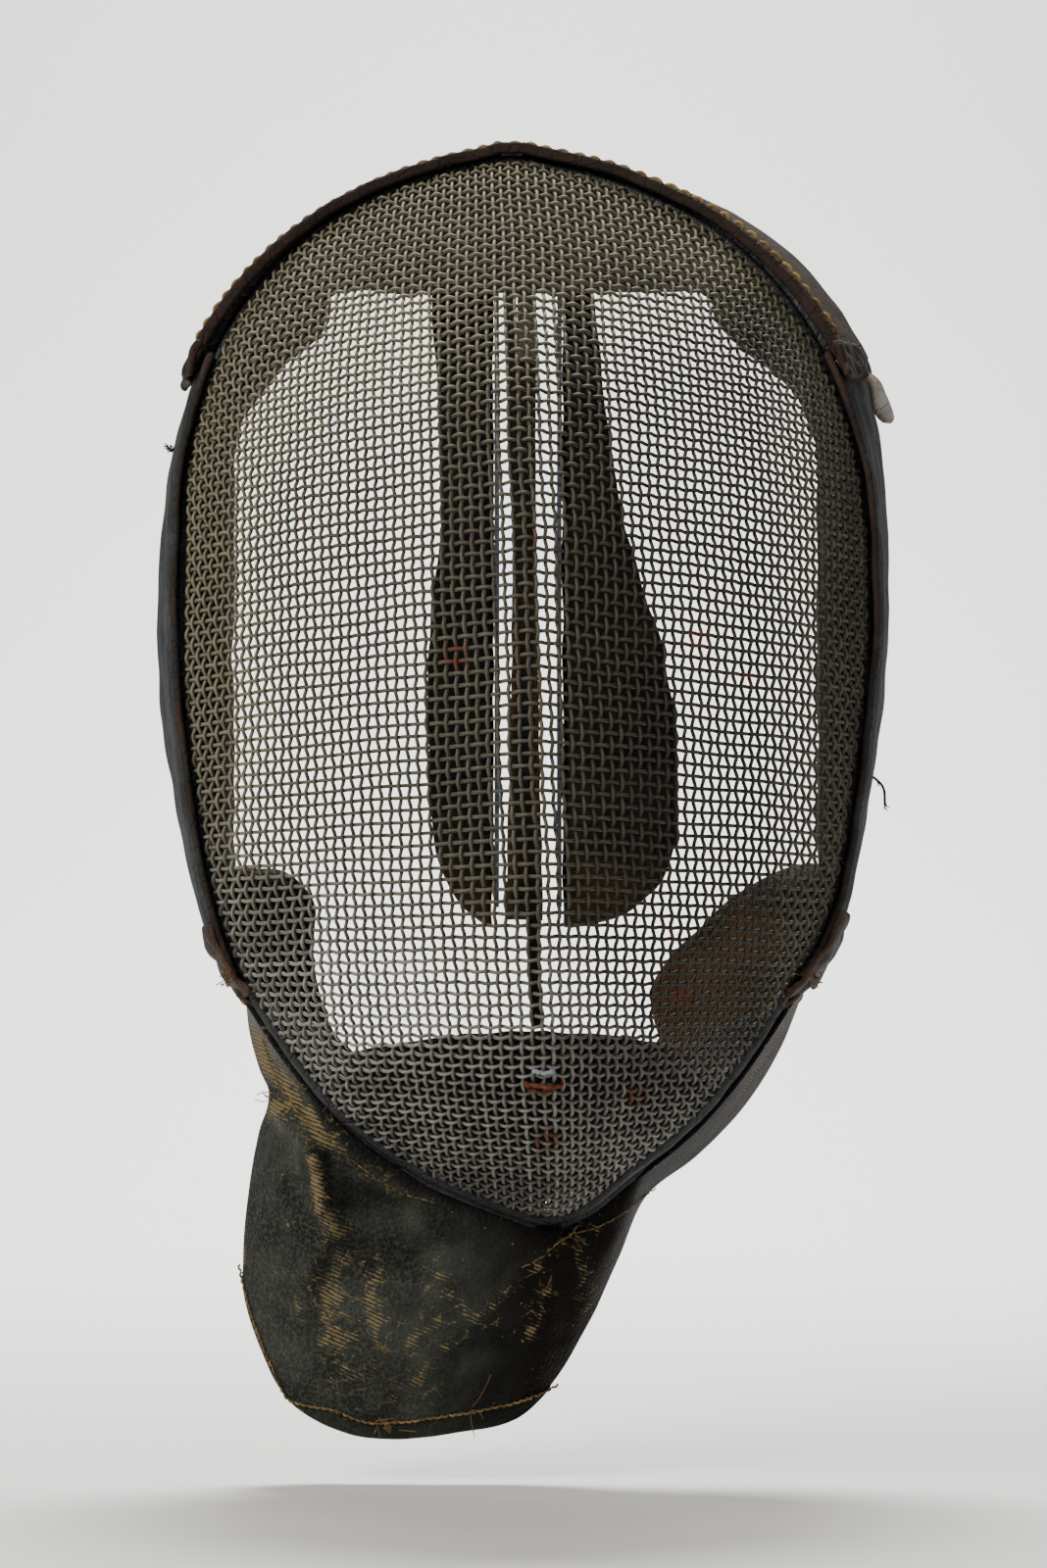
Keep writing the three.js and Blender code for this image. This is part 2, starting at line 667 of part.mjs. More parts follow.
add('wire_face', wireFace(), 'wire');
add('ridge_bar', ridgeBar(), 'rust');
add('rim_binding', rimBinding(), 'blackLeather');
add('crown_band', crownBand(), 'brownLeather');
add('side_band_left', sideBand(-1), 'blackLeather');
add('side_band_right', sideBand(1), 'blackLeather');
add('side_lining_left', sideLining(-1), 'padding');
add('side_lining_right', sideLining(1), 'padding');
add('forehead_pad', foreheadPad(), 'padding');
add('cheek_flap_left', cheekFlap(-1, flapLeft), 'brownLeather');
add('cheek_flap_right', cheekFlap(1, flapRight), 'brownLeather');
add('chin_pad', chinPad(), 'padding');
add('tongue_spring', tongueSpring(), 'steel');
add('tongue_pad_left', tonguePad(-1, padLeft, springLeft), 'blackLeather');
add('tongue_pad_right', tonguePad(1, padRight, springRight), 'blackLeather');
add('tongue_strip', tongueStrip(), 'brownLeather');
add('strap_tab', strapTab(), 'paleLeather');
add('bib', bib(), 'cloth');

export default mask;
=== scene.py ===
import math

import bpy
import numpy as np
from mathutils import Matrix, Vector, noise


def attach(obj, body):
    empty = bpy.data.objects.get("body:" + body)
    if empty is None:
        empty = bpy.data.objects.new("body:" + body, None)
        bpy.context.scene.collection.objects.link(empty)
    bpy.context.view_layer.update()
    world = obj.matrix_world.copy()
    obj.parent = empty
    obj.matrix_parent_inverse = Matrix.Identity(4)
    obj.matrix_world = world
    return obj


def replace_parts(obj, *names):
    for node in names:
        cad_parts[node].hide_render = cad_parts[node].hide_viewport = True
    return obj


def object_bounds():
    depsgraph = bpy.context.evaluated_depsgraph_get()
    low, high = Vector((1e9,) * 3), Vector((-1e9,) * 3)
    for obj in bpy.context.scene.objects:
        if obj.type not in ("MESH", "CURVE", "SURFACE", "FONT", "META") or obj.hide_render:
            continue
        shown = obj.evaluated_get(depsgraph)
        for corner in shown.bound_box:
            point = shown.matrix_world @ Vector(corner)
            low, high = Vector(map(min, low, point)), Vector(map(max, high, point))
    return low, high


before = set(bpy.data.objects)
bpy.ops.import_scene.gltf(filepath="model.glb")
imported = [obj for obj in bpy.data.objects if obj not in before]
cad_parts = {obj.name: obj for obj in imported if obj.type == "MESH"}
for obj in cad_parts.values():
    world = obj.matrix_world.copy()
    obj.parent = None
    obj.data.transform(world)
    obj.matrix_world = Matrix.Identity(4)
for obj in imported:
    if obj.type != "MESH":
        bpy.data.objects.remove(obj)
cad_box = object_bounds()

# The wire face: plain woven steel wire, 1.1 mm thick, crimped over and under the wires that cross it. The
# cloth was pressed into a dome with a crease down its middle. It is dull and brown with age, brighter at the
# chin, with rust where wires cross; painted shade darkens most of its right side, and painted light brightens
# its left edge and its top. The wires end inside the rolled binding.
FACE_HEIGHT = 0.304
FACE_HALF_WIDTH = 0.097
FACE_DEPTH = 0.100
CROWN_RISE = 0.037
FRONT_REACH = 0.115
# Shares of the face's height (drop), half width (half, middle, ridge) and depth (edge, front).
FACE_LEVELS = np.array([
    (0.0, 0.025, -0.035, -0.035, 1.0, 0.996),
    (0.026, 0.31, -0.035, -0.032, 0.976, 0.88),
    (0.066, 0.553, -0.026, -0.027, 0.944, 0.74),
    (0.111, 0.711, -0.02, -0.021, 0.904, 0.59),
    (0.178, 0.855, -0.015, -0.014, 0.864, 0.4),
    (0.273, 0.96, -0.003, -0.003, 0.824, 0.21),
    (0.415, 0.998, 0.004, 0.014, 0.776, 0.05),
    (0.598, 0.952, 0.002, 0.035, 0.768, 0.0),
    (0.725, 0.873, 0.0, 0.052, 0.776, 0.04),
    (0.779, 0.79, -0.012, 0.057, 0.784, 0.09),
    (0.833, 0.682, -0.012, 0.064, 0.792, 0.17),
    (0.906, 0.498, -0.009, 0.074, 0.816, 0.38),
    (0.961, 0.264, 0.01, 0.079, 0.84, 0.61),
    (0.985, 0.13, 0.055, 0.078, 0.86, 0.75),
    (1.0, 0.022, 0.072, 0.072, 0.872, 0.856),
])
# How the face falls back from its crease to its edge: the straight share of the fall, and the round share.
CREASE = 0.5
ROUND = 0.35


def run_through(places, rows):
    """A smooth run through a table's rows, from the first place to the last."""
    places, rows = np.asarray(places, float), np.asarray(rows, float)

    def at(place):
        place = np.clip(np.asarray(place, float), places[0], places[-1])
        i = np.clip(np.searchsorted(places, place, side="right"), 1, len(places) - 1)
        first, last = i == 1, i == len(places) - 1
        before = np.where(first, i, i - 2)
        after = np.where(last, i - 1, np.minimum(i + 1, len(places) - 1))
        start, end = places[i - 1], places[i]
        half = (end - start) / 2
        pull = np.where(first, -0.5, half / np.where(first, 1, start - places[np.where(first, 0, i - 2)]))
        push = np.where(last, -0.5, half / np.where(last, 1, places[after] - end))
        p = (place - start) / (end - start)
        weights = (
            -pull * p**3 + 2 * pull * p**2 - pull * p,
            (1 + pull) * p**3 + (-1.5 - 2 * pull) * p**2 + (-0.5 + pull) * p + 1,
            (-1 - push) * p**3 + (1.5 + push) * p**2 + 0.5 * p,
            push * p**3 - push * p**2,
        )
        corners = (rows[before], rows[i - 1], rows[i], rows[after])
        return sum(w[..., None] * c for w, c in zip(weights, corners))

    return at


def spacing(outline):
    """How far along an outline each of its points lies, from 0 to 1."""
    steps = np.hypot(*np.diff(np.asarray(outline, float), axis=0).T)
    reached = np.concatenate([[0], np.cumsum(steps)])
    return reached / reached[-1]


def height_at(drop):
    return CROWN_RISE - drop * FACE_HEIGHT


def drop_of(z):
    return (CROWN_RISE - z) / FACE_HEIGHT


def depth_at(share):
    return share * FACE_DEPTH - FRONT_REACH


level_along = run_through(
    spacing(FACE_LEVELS[:, [1, 0]] * [FACE_HALF_WIDTH, FACE_HEIGHT]), FACE_LEVELS
)
EVERY_PLACE = np.linspace(0, 1, 4001)
EVERY_DROP = level_along(EVERY_PLACE)[:, 0]


def along_at_drop(drop):
    return np.interp(drop, EVERY_DROP, EVERY_PLACE)


def fall_back(share):
    return CREASE * share + ROUND * share**2 + (1 - CREASE - ROUND) * share**6


def face_point(along, across):
    """A point of the wire's face, from crown to chin and from the left edge (-1) to the right (1)."""
    along, across = np.broadcast_arrays(np.asarray(along, float), np.asarray(across, float))
    drop, half, middle, ridge, edge, front = np.moveaxis(level_along(along), -1, 0)
    share = np.abs(across)
    x = FACE_HALF_WIDTH * (ridge + share * (middle + np.sign(across) * half - ridge))
    y = depth_at(front + (edge - front) * fall_back(share))
    return np.stack([x, y, height_at(drop)], -1)


def unit(vectors):
    return vectors / np.maximum(np.linalg.norm(vectors, axis=-1, keepdims=True), 1e-12)


def face_outward(along, across):
    """Square to the wire, away from the wearer."""
    step = 0.01
    down = face_point(np.minimum(along + step, 1), across) - face_point(np.maximum(along - step, 0), across)
    over = face_point(along, np.minimum(across + step, 1)) - face_point(along, np.maximum(across - step, -1))
    square = unit(np.cross(down, over))
    return square * np.where(square[..., 1:2] > 0, -1, 1)


def across_at(along, x):
    """How far across the face a place lies, from its level and its x."""
    _, half, middle, ridge, _, _ = np.moveaxis(level_along(along), -1, 0)
    share = x / FACE_HALF_WIDTH - ridge
    return share / np.where(share > 0, middle + half - ridge, half - middle + ridge)


def mesh_object(name, points, faces):
    mesh = bpy.data.meshes.new(name)
    mesh.from_pydata([tuple(p) for p in points], [], faces)
    mesh.shade_smooth()
    piece = bpy.data.objects.new(name, mesh)
    bpy.context.scene.collection.objects.link(piece)
    return piece


def tube_rings(path, outward, radius, sides):
    """Rings of points round a path. outward keeps them from turning, and radius may change along it."""
    path, outward = np.asarray(path, float), np.asarray(outward, float)
    along = unit(np.gradient(path, axis=0))
    aside = unit(np.cross(along, outward))
    up = np.cross(aside, along)
    turn = 2 * math.pi * np.arange(sides) / sides
    ring = aside[:, None] * np.cos(turn)[None, :, None] + up[:, None] * np.sin(turn)[None, :, None]
    return path[:, None] + ring * np.broadcast_to(radius, len(path))[:, None, None]


class Strands:
    """Many thin tubes gathered into one mesh, each with a tone of its own between 0 and 1."""

    def __init__(self):
        self.points, self.faces, self.tones = [], [], []

    def add(self, path, outward, radius, sides=6, tone=0.5):
        rings = tube_rings(path, outward, radius, sides)
        start, count = len(self.points), len(rings)
        self.points.extend(rings.reshape(-1, 3))
        self.tones.extend([tone] * (count * sides))
        for i in range(count - 1):
            a, b = start + i * sides, start + (i + 1) * sides
            self.faces.extend((a + j, a + (j + 1) % sides, b + (j + 1) % sides, b + j) for j in range(sides))
        self.faces.append(tuple(range(start + sides - 1, start - 1, -1)))
        self.faces.append(tuple(start + (count - 1) * sides + j for j in range(sides)))

    def piece(self, name, material, slot):
        piece = mesh_object(name, self.points, self.faces)
        mark(piece, "tone", self.tones)
        return fitted(piece, material)


def mark(piece, name, values):
    """Keeps one number for each point of a piece, which its material reads."""
    attribute = piece.data.attributes.new(name, "FLOAT", "POINT")
    attribute.data.foreach_set("value", np.asarray(values, np.float32))


def fitted(piece, material):
    piece.data.materials.clear()
    piece.data.materials.append(material)
    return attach(piece, "root")


# The studio's light makes a surface look this many times as bright as its own colour.
STUDIO_LIGHT = 1.6


def colour(code):
    """A surface's own colour, from its colour as it looks in the studio's light, such as #6b675c."""
    parts = [int(code[i : i + 2], 16) / 255 for i in (1, 3, 5)]
    seen = [c / 12.92 if c <= 0.04045 else ((c + 0.055) / 1.055) ** 2.4 for c in parts]
    return tuple(c / STUDIO_LIGHT for c in seen) + (1.0,)


class Value:
    """A socket of a finish, worked with as a number."""

    def __init__(self, finish, socket):
        self.finish, self.socket = finish, socket

    def math(self, operation, *others):
        return self.finish.node("Math", {"operation": operation}, self, *others)

    def __add__(self, other):
        return self.math("ADD", other)

    __radd__ = __add__

    def __sub__(self, other):
        return self.math("SUBTRACT", other)

    def __rsub__(self, other):
        return self.finish.node("Math", {"operation": "SUBTRACT"}, other, self)

    def __mul__(self, other):
        return self.math("MULTIPLY", other)

    def __pow__(self, other):
        return self.math("POWER", other)

    def rise(self, low, high):
        """0 below low and 1 above high, smoothly between. Falls instead where low is the higher."""
        return self.finish.node(
            "MapRange", {"interpolation_type": "SMOOTHSTEP"}, self, low, high, 0.0, 1.0
        )

    def held(self):
        return self.finish.node("Math", {"operation": "ADD", "use_clamp": True}, self, 0.0)


class Finish:
    """A material in the making."""

    def __init__(self, name):
        self.material = bpy.data.materials.new(name)
        self.material.use_nodes = True
        self.tree = self.material.node_tree
        self.tree.nodes.clear()

    def node(self, kind, settings, *inputs, out=0, **named):
        """A node of any kind: its settings first, then its inputs in order or by name."""
        made = self.tree.nodes.new("ShaderNode" + kind)
        for key, value in settings.items():
            if key == "stops":
                ramp = made.color_ramp
                while len(ramp.elements) < len(value):
                    ramp.elements.new(0.5)
                for stop, (place, tint) in zip(ramp.elements, value):
                    stop.position, stop.color = place, tint
            else:
                setattr(made, key, value)
        sockets = [s for s in made.inputs if s.enabled]
        pairs = list(zip(sockets, inputs)) + [
            (next(s for s in sockets if s.name == name.replace("_", " ")), value)
            for name, value in named.items()
        ]
        for socket, value in pairs:
            if isinstance(value, Value):
                self.tree.links.new(value.socket, socket)
            elif value is not None:
                socket.default_value = value
        outputs = [s for s in made.outputs if s.enabled]
        return Value(self, outputs[out]) if outputs else None

    def place(self):
        """Where a point of the piece lies, in metres."""
        return self.node("TexCoord", {}, out=3)

    def parts(self, vector):
        return [self.node("SeparateXYZ", {}, vector, out=i) for i in range(3)]

    def run(self):
        """How far along and across its own cloth a point lies, in metres."""
        return self.parts(self.node("UVMap", {"uv_map": "run"}))[:2]

    def marked(self, name):
        return self.node("Attribute", {"attribute_name": name}, out=2)

    def speckle(self, size, detail=3.0, rough=0.55, twist=0.0, at=None, out=0):
        """Soft noise with lumps of about this size, in metres."""
        return self.node("TexNoise", {}, at or self.place(), Scale=1 / size, Detail=detail,
                         Roughness=rough, Distortion=twist, out=out)

    def cells(self, size, feature="F1", at=None):
        return self.node("TexVoronoi", {"feature": feature}, at or self.place(), Scale=1 / size)

    def cracks(self, size, width, shift, shift_size):
        """1 on fine branching cracks and 0 beside them. Noise of shift_size bends them by up to shift."""
        bent = self.node("VectorMath", {"operation": "ADD"}, self.place(),
                         self.stretched(shift, shift, shift, self.speckle(shift_size, out=1)))
        return self.cells(size, "DISTANCE_TO_EDGE", bent).rise(width, 0.0)

    def stretched(self, x, y, z, at=None):
        """A place with each direction scaled, so that a pattern grows long along one."""
        return self.node("VectorMath", {"operation": "MULTIPLY"}, at or self.place(), (x, y, z))

    def mix(self, below, above, mask):
        return self.node("Mix", {"data_type": "RGBA"}, mask, below, above)

    def spot(self, x, z, radius, soft=0.5):
        """1 inside a round spot of the face, seen from the front."""
        across, _, up = self.parts(self.place())
        far = ((across - x) ** 2 + (up - z) ** 2) ** 0.5
        return far.rise(radius, radius * soft)

    def done(self, tint, roughness, metal=0.0, height=None, depth=0.0, shine=0.2):
        """Joins the shader. height is a bump in shares of depth, which is in metres."""
        normal = self.node("Bump", {}, Strength=1.0, Distance=depth, Height=height) if height else None
        shader = self.node("BsdfPrincipled", {}, Base_Color=tint, Roughness=roughness, Metallic=metal,
                           Normal=normal, Specular_IOR_Level=shine)
        self.node("OutputMaterial", {}, shader)
        return self.material


WIRE_RADIUS = 0.00054
WIRE_CRIMP = 0.00054
CRIMP_STEPS = 4
DOWN_PITCH = 0.00297
ACROSS_PITCH = 0.00325
WIDEST_DROP = 0.45
WIRE_SETTLING = 0.0003
# A wire's last bit is left off where it would be shorter than this share of a step.
SHORTEST_END = 0.05
# The wires that run down close up above one height and below another, the faster the further.
CLOSE_ABOVE, CLOSE_ABOVE_RATE = -0.045, 18
CLOSE_BELOW, CLOSE_BELOW_RATE = -0.185, 34
# How steeply the wires that run across climb to the crease, by their height there.
ACROSS_CLIMB = np.array([
    (-0.27, -0.05), (-0.24, -0.04), (-0.205, 0.0), (-0.18, 0.022), (-0.155, 0.035), (-0.09, 0.05),
    (-0.05, 0.07), (-0.027, 0.1), (0.04, 0.1),
])
# How much wider than their usual pitch the wires that run across lie, by height.
ACROSS_SPREAD = np.array([
    (-0.267, 1.12), (-0.235, 1.05), (-0.2, 1.0), (-0.06, 1.0), (-0.02, 1.08), (0.01, 1.18), (0.037, 1.2),
])
seeded = np.random.default_rng(7)


def drift(x, z):
    """How far the woven wires have slipped from an even grid, alike for those that cross at a place."""
    aside = (np.sin(61 * x + 143 * z + 0.4) + 0.7 * np.sin(-117 * x + 71 * z + 2.1)
             + 0.4 * np.sin(230 * z + 190 * x))
    upward = (np.sin(173 * x - 52 * z + 1.3) + 0.7 * np.sin(88 * x + 131 * z + 4.0)
              + 0.4 * np.sin(260 * x - 160 * z))
    most = 1 + 0.7 + 0.4
    return WIRE_SETTLING * aside / most, WIRE_SETTLING * upward / most


def run_length(line, stretch=1.0):
    """How far along a line each of its points lies, in metres, with every step divided by stretch."""
    return np.concatenate([[0], np.cumsum(np.linalg.norm(np.diff(line, axis=0), axis=1) / stretch)])


def wire_places():
    """The x of each wire that runs down, where the face is widest, and the z of each that runs across."""
    steps = 1000
    line = face_point(along_at_drop(WIDEST_DROP), np.linspace(-1, 1, 2 * steps + 1))
    length = run_length(line)
    length -= length[steps]
    count = int(min(-length[0], length[-1]) / DOWN_PITCH)
    down = np.interp(np.arange(-count, count + 1) * DOWN_PITCH, length, line[:, 0])
    ridge = face_point(EVERY_PLACE, 0.0)
    length = run_length(ridge, np.interp(ridge[1:, 2], *ACROSS_SPREAD.T))
    rows = np.arange(1, int(length[-1] / ACROSS_PITCH) + 1)
    return down, np.interp(rows * ACROSS_PITCH - ACROSS_PITCH / 2, length, ridge[:, 2])


def ridge_x(z):
    return FACE_HALF_WIDTH * level_along(along_at_drop(drop_of(z)))[..., 3]


def woven_path(x, z, lift):
    """Points on the face at x and z, lifted off it by their crimp, and which way is out there."""
    along = along_at_drop(drop_of(z))
    across = np.clip(across_at(along, x), -1, 1)
    outward = face_outward(along, across)
    return face_point(along, across) + outward * (lift * WIRE_CRIMP)[:, None], outward


def crossings():
    """The x and z where each wire that runs down meets each that runs across."""
    place, height = np.meshgrid(*wire_places(), indexing="ij")
    x, z = place, height
    # Each bends the other, so both are found by turns.
    for _ in range(4):
        ridge = ridge_x(z)
        closed = (CLOSE_ABOVE_RATE * np.maximum(z - CLOSE_ABOVE, 0) ** 2
                  + CLOSE_BELOW_RATE * np.maximum(CLOSE_BELOW - z, 0) ** 2)
        x = place * (1 - closed) + ridge * (1 - np.abs(place) / FACE_HALF_WIDTH)
        z = height - np.interp(height, *ACROSS_CLIMB.T) * np.abs(x - ridge)
    aside, upward = drift(x, z)
    return x + aside, z + upward


def inside(x, z):
    beside = np.abs(across_at(along_at_drop(drop_of(z)), x))
    return (beside <= 1) & (z < CROWN_RISE) & (z > CROWN_RISE - FACE_HEIGHT)


def trimmed(x, z, lift):
    """The part of a wire's run that lies within the face, brought exactly to its edge at both ends."""
    within = np.flatnonzero(inside(x, z))
    if len(within) < 3:
        return None
    first, last = within[0], within[-1]
    keep = [(x[i], z[i], lift[i]) for i in range(first, last + 1)]
    for end, beyond in ((first, first - 1), (last, last + 1)):
        if not 0 <= beyond < len(x):
            continue
        near, far = np.array([x[end], z[end]]), np.array([x[beyond], z[beyond]])
        low, high = 0.0, 1.0
        for _ in range(18):
            middle = (low + high) / 2
            if inside(*(near + middle * (far - near))):
                low = middle
            else:
                high = middle
        if low > SHORTEST_END:
            keep.insert(0 if beyond < end else len(keep), (*(near + low * (far - near)), 0.0))
    return np.array(keep).T


def wire_run(strands, x, z, first):
    """One wire through its crossings: over the first if first is 1, under it if -1, and so on by turns."""
    steps = np.arange((len(x) - 1) * CRIMP_STEPS + 1) / CRIMP_STEPS
    turns = np.arange(len(x))
    kept = trimmed(np.interp(steps, turns, x), np.interp(steps, turns, z), first * np.cos(math.pi * steps))
    if kept is not None:
        path, outward = woven_path(*kept)
        strands.add(path, outward, WIRE_RADIUS, 5, seeded.uniform(0, 1))


def wire_finish():
    """Dull steel, browner and darker by turns, with rust in spots and where the wires touch. Painted shade
    darkens most of the right side, and painted light brightens the left edge and the top.
    """
    wire = Finish("woven_wire")
    x, _, z = wire.parts(wire.place())
    tone = wire.marked("tone")
    patches = wire.speckle(0.035, 4.0)
    fine = wire.speckle(0.0025, 4.0, 0.7)
    warm = wire.mix(colour("#47443a"), colour("#6a6656"), (tone * 0.5 + patches * 0.6).held())
    painted_light_tint = wire.mix(colour("#6f6a54"), colour("#8d866f"), (tone * 0.5 + patches * 0.6).held())
    dark = wire.mix(colour("#2e2b24"), colour("#49453a"), (tone * 0.6 + patches * 0.4).held())
    silver = wire.mix(colour("#6c6962"), colour("#98958c"), tone)
    # Painted shade: most of the right side is darkened, as if turned away from the light.
    body = wire.mix(warm, dark, (x + (patches - 0.5) * 0.04).rise(-0.01, 0.035) * x.rise(0.078, 0.062))
    # Painted light: the left edge and the top are brightened, as if lit from the upper left.
    body = wire.mix(body, painted_light_tint, (x + (patches - 0.5) * 0.03).rise(-0.062, -0.082))
    body = wire.mix(body, painted_light_tint, (z - x * 0.35 + (patches - 0.5) * 0.03).rise(-0.05, -0.005) * 0.85)
    body = wire.mix(body, silver, (z + x * 0.5 + (patches - 0.5) * 0.06).rise(-0.18, -0.235))
    body = wire.mix(body, colour("#35322a"), fine.rise(0.45, 0.75) * 0.6)
    rusty = wire.speckle(0.008, 5.0, 0.7).rise(0.6, 0.72) * wire.speckle(0.06, 2.0).rise(0.42, 0.6)
    for spot_x, spot_z, radius in RUST_SPOTS:
        rusty = (rusty + wire.spot(spot_x, spot_z, radius) * fine.rise(0.3, 0.6)).held()
    body = wire.mix(body, wire.mix(colour("#3f2a20"), colour("#7a4128"), fine), rusty)
    return wire.done(body, 0.52 + rusty * 0.3 + fine * 0.15, 0.22 - rusty * 0.2, fine, 0.00008, 0.22)


# Where rust has taken hold, by x, z and radius in metres.
RUST_SPOTS = [
    (0.043, -0.205, 0.004), (0.031, -0.232, 0.004), (0.006, -0.244, 0.005),
    (0.048, -0.108, 0.005), (-0.018, -0.114, 0.005), (0.062, -0.118, 0.003),
]
woven_wire = wire_finish()
crossing_x, crossing_z = crossings()
down_count, across_count = crossing_x.shape
halves = {name: Strands() for name in ("down_left", "down_right", "across_upper", "across_lower")}
for i in range(down_count):
    half = halves["down_left" if i < down_count / 2 else "down_right"]
    wire_run(half, crossing_x[i], crossing_z[i], (-1) ** i)
for j in range(across_count):
    half = halves["across_upper" if j < across_count / 2 else "across_lower"]
    wire_run(half, crossing_x[:, j], crossing_z[:, j], (-1) ** (j + 1))
for name, strands in halves.items():
    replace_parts(strands.piece(f"wires_{name}", woven_wire, "woven_wire"), "wire_face")

# The ridge bar: a flat iron bar behind the crease, that stiffens it. It is rusted almost black.


def coated(node, material):
    """Gives a node of the CAD, which is shown as it is, its material."""
    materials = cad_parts[node].data.materials
    materials.clear()
    materials.append(material)


rusty_iron = Finish("rusty_iron")
pitting = rusty_iron.speckle(0.003, 5.0, 0.7)
coated("ridge_bar", rusty_iron.done(
    rusty_iron.mix(colour("#15120f"), colour("#3d2a20"), pitting.rise(0.45, 0.8)),
    0.6 + pitting * 0.3, 0.35, pitting, 0.0002,
))

# The rim binding: a strip of black leather rolled over the cut ends of the wires and sewn through. Its top
# is rubbed grey and its hidden side is brown.
BINDING_RADIUS = 0.0017
BINDING_OUT = 0.0006
BINDING_BACK = 0.0022


def edge_point(side, along, out, back):
    """A point by the wire's edge: out is square to the edge, back is towards the open side."""
    step = 0.006
    side, along = np.broadcast_arrays(np.asarray(side, float), np.asarray(along, float))
    run = face_point(np.minimum(along + step, 1), side) - face_point(np.maximum(along - step, 0), side)
    away = unit(np.stack([-run[..., 2], np.zeros_like(side), run[..., 0]], -1)) * side[..., None]
    found = face_point(along, side) + away * np.asarray(out)[..., None]
    found[..., 1] += back
    return found


def leather(name, dark, light, worn, worn_at=None, grain=0.0012, scuffs=0.5, rough=0.6, shine=0.1):
    """Old leather: a fine grain, cracks, a mottled colour, and the raw hide where it is rubbed through."""
    hide = Finish(name)
    patches = hide.speckle(0.018, 5.0, 0.6)
    fine = hide.speckle(grain, 4.0, 0.7)
    pores = hide.cells(grain * 1.3)
    cracks = hide.cracks(0.0045, 0.12, 0.002, 0.004)
    rubbed = hide.speckle(0.006, 6.0, 0.75).rise(0.66, 0.8) * scuffs
    if worn_at:
        rubbed = (rubbed + worn_at(hide, fine, patches)).held()
    tint = hide.mix(colour(dark), colour(light), patches.rise(0.3, 0.75))
    tint = hide.mix(tint, colour(dark), cracks * 0.5)
    tint = hide.mix(tint, hide.mix(colour(worn), colour(light), fine.rise(0.5, 0.8) * 0.5), rubbed)
    height = fine * 0.5 + pores * 0.35 - cracks * 0.6 - rubbed * 0.3 + patches * 0.8
    return hide.done(tint, rough + rubbed * 0.3 + fine * 0.12, 0.0, height, 0.00035, shine)


def worn_edges(width, strength=1.0, also=None):
    """Wear that is strongest at a piece's cut edges and fades within width, in metres."""
    def at(hide, fine, patches):
        edge = hide.marked("edge")
        near = (edge + (fine - 0.5) * width).rise(width, 0.0) * strength
        return near + also(hide) if also else near
    return at


binding_leather = leather("binding_leather", "#141416", "#2b2c2f", "#5a4030", grain=0.001, scuffs=0.8,
                          rough=0.4, shine=0.3)
half_places = np.linspace(0, 1, 220)
loop = np.concatenate([
    edge_point(1, half_places, BINDING_OUT, BINDING_BACK),
    edge_point(-1, half_places[::-1], BINDING_OUT, BINDING_BACK),
])


def smoothed_loop(points, count, times):
    """A closed line evened out, so that its corners turn gently."""
    closed = np.vstack([points, points[:1]])
    length = run_length(closed)
    at = np.linspace(0, length[-1], count, endpoint=False)
    found = np.stack([np.interp(at, length, closed[:, k]) for k in range(3)], -1)
    for _ in range(times):
        found = (np.roll(found, 1, 0) + 2 * found + np.roll(found, -1, 0)) / 4
    return found


def closed_tube(path, outward, radii, sides):
    """A closed roll round a path, wide across it and thick along outward."""
    along = unit(np.roll(path, -1, 0) - np.roll(path, 1, 0))
    aside = unit(np.cross(along, outward))
    up = np.cross(aside, along)
    turn = 2 * math.pi * np.arange(sides) / sides
    wide, thick = (np.broadcast_to(radius, len(path))[:, None, None] for radius in radii)
    rings = (path[:, None] + aside[:, None] * np.cos(turn)[None, :, None] * wide
             + up[:, None] * np.sin(turn)[None, :, None] * thick)
    count = len(path)
    faces = [
        (i * sides + j, i * sides + (j + 1) % sides,
         ((i + 1) % count) * sides + (j + 1) % sides, ((i + 1) % count) * sides + j)
        for i in range(count) for j in range(sides)
    ]
    return rings.reshape(-1, 3), faces


noise.seed_set(5)


def rippled(points, size, amount, seed=0.0):
    """Points pushed about by soft noise, as worn leather is never quite true."""
    shift = [noise.noise_vector(Vector(p) / size + Vector((seed, seed, seed))) for p in points]
    return points + amount * np.array(shift)


def smoothstep(value, low, high):
    share = np.clip((value - low) / (high - low), 0, 1)
    return share * share * (3 - 2 * share)


# Under the chin the roll is fuller, and sits a little further out.
CHIN_ROLL_START, CHIN_ROLL_END = 0.77, 0.87
CHIN_ROLL_GROWTH = 0.3
binding_path = smoothed_loop(loop, 700, 12)
fuller = 1 + CHIN_ROLL_GROWTH * smoothstep(drop_of(binding_path[:, 2]), CHIN_ROLL_START, CHIN_ROLL_END)
binding_points, binding_faces = closed_tube(
    binding_path, np.tile([0.0, -1.0, 0.0], (len(binding_path), 1)),
    (BINDING_RADIUS * 1.04 * fuller, BINDING_RADIUS * fuller), 16,
)
binding = mesh_object("rim_roll", rippled(binding_points, 0.006, 0.00022, 3.0), binding_faces)
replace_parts(fitted(binding, binding_leather), "rim_binding")

# The crown band: a broad strap of brown leather that stands up round the crown, sewn along its front edge
# with ochre thread. Its ends are frayed and turned under, and its front edge is nearly black.
SIDES = ((-1, "left"), (1, "right"))
CROWN_WIDTH = 0.038
CROWN_LIP = 0.003
CROWN_FLARE = 0.014
CROWN_END = 0.205
BAND_THICKNESS = 0.002
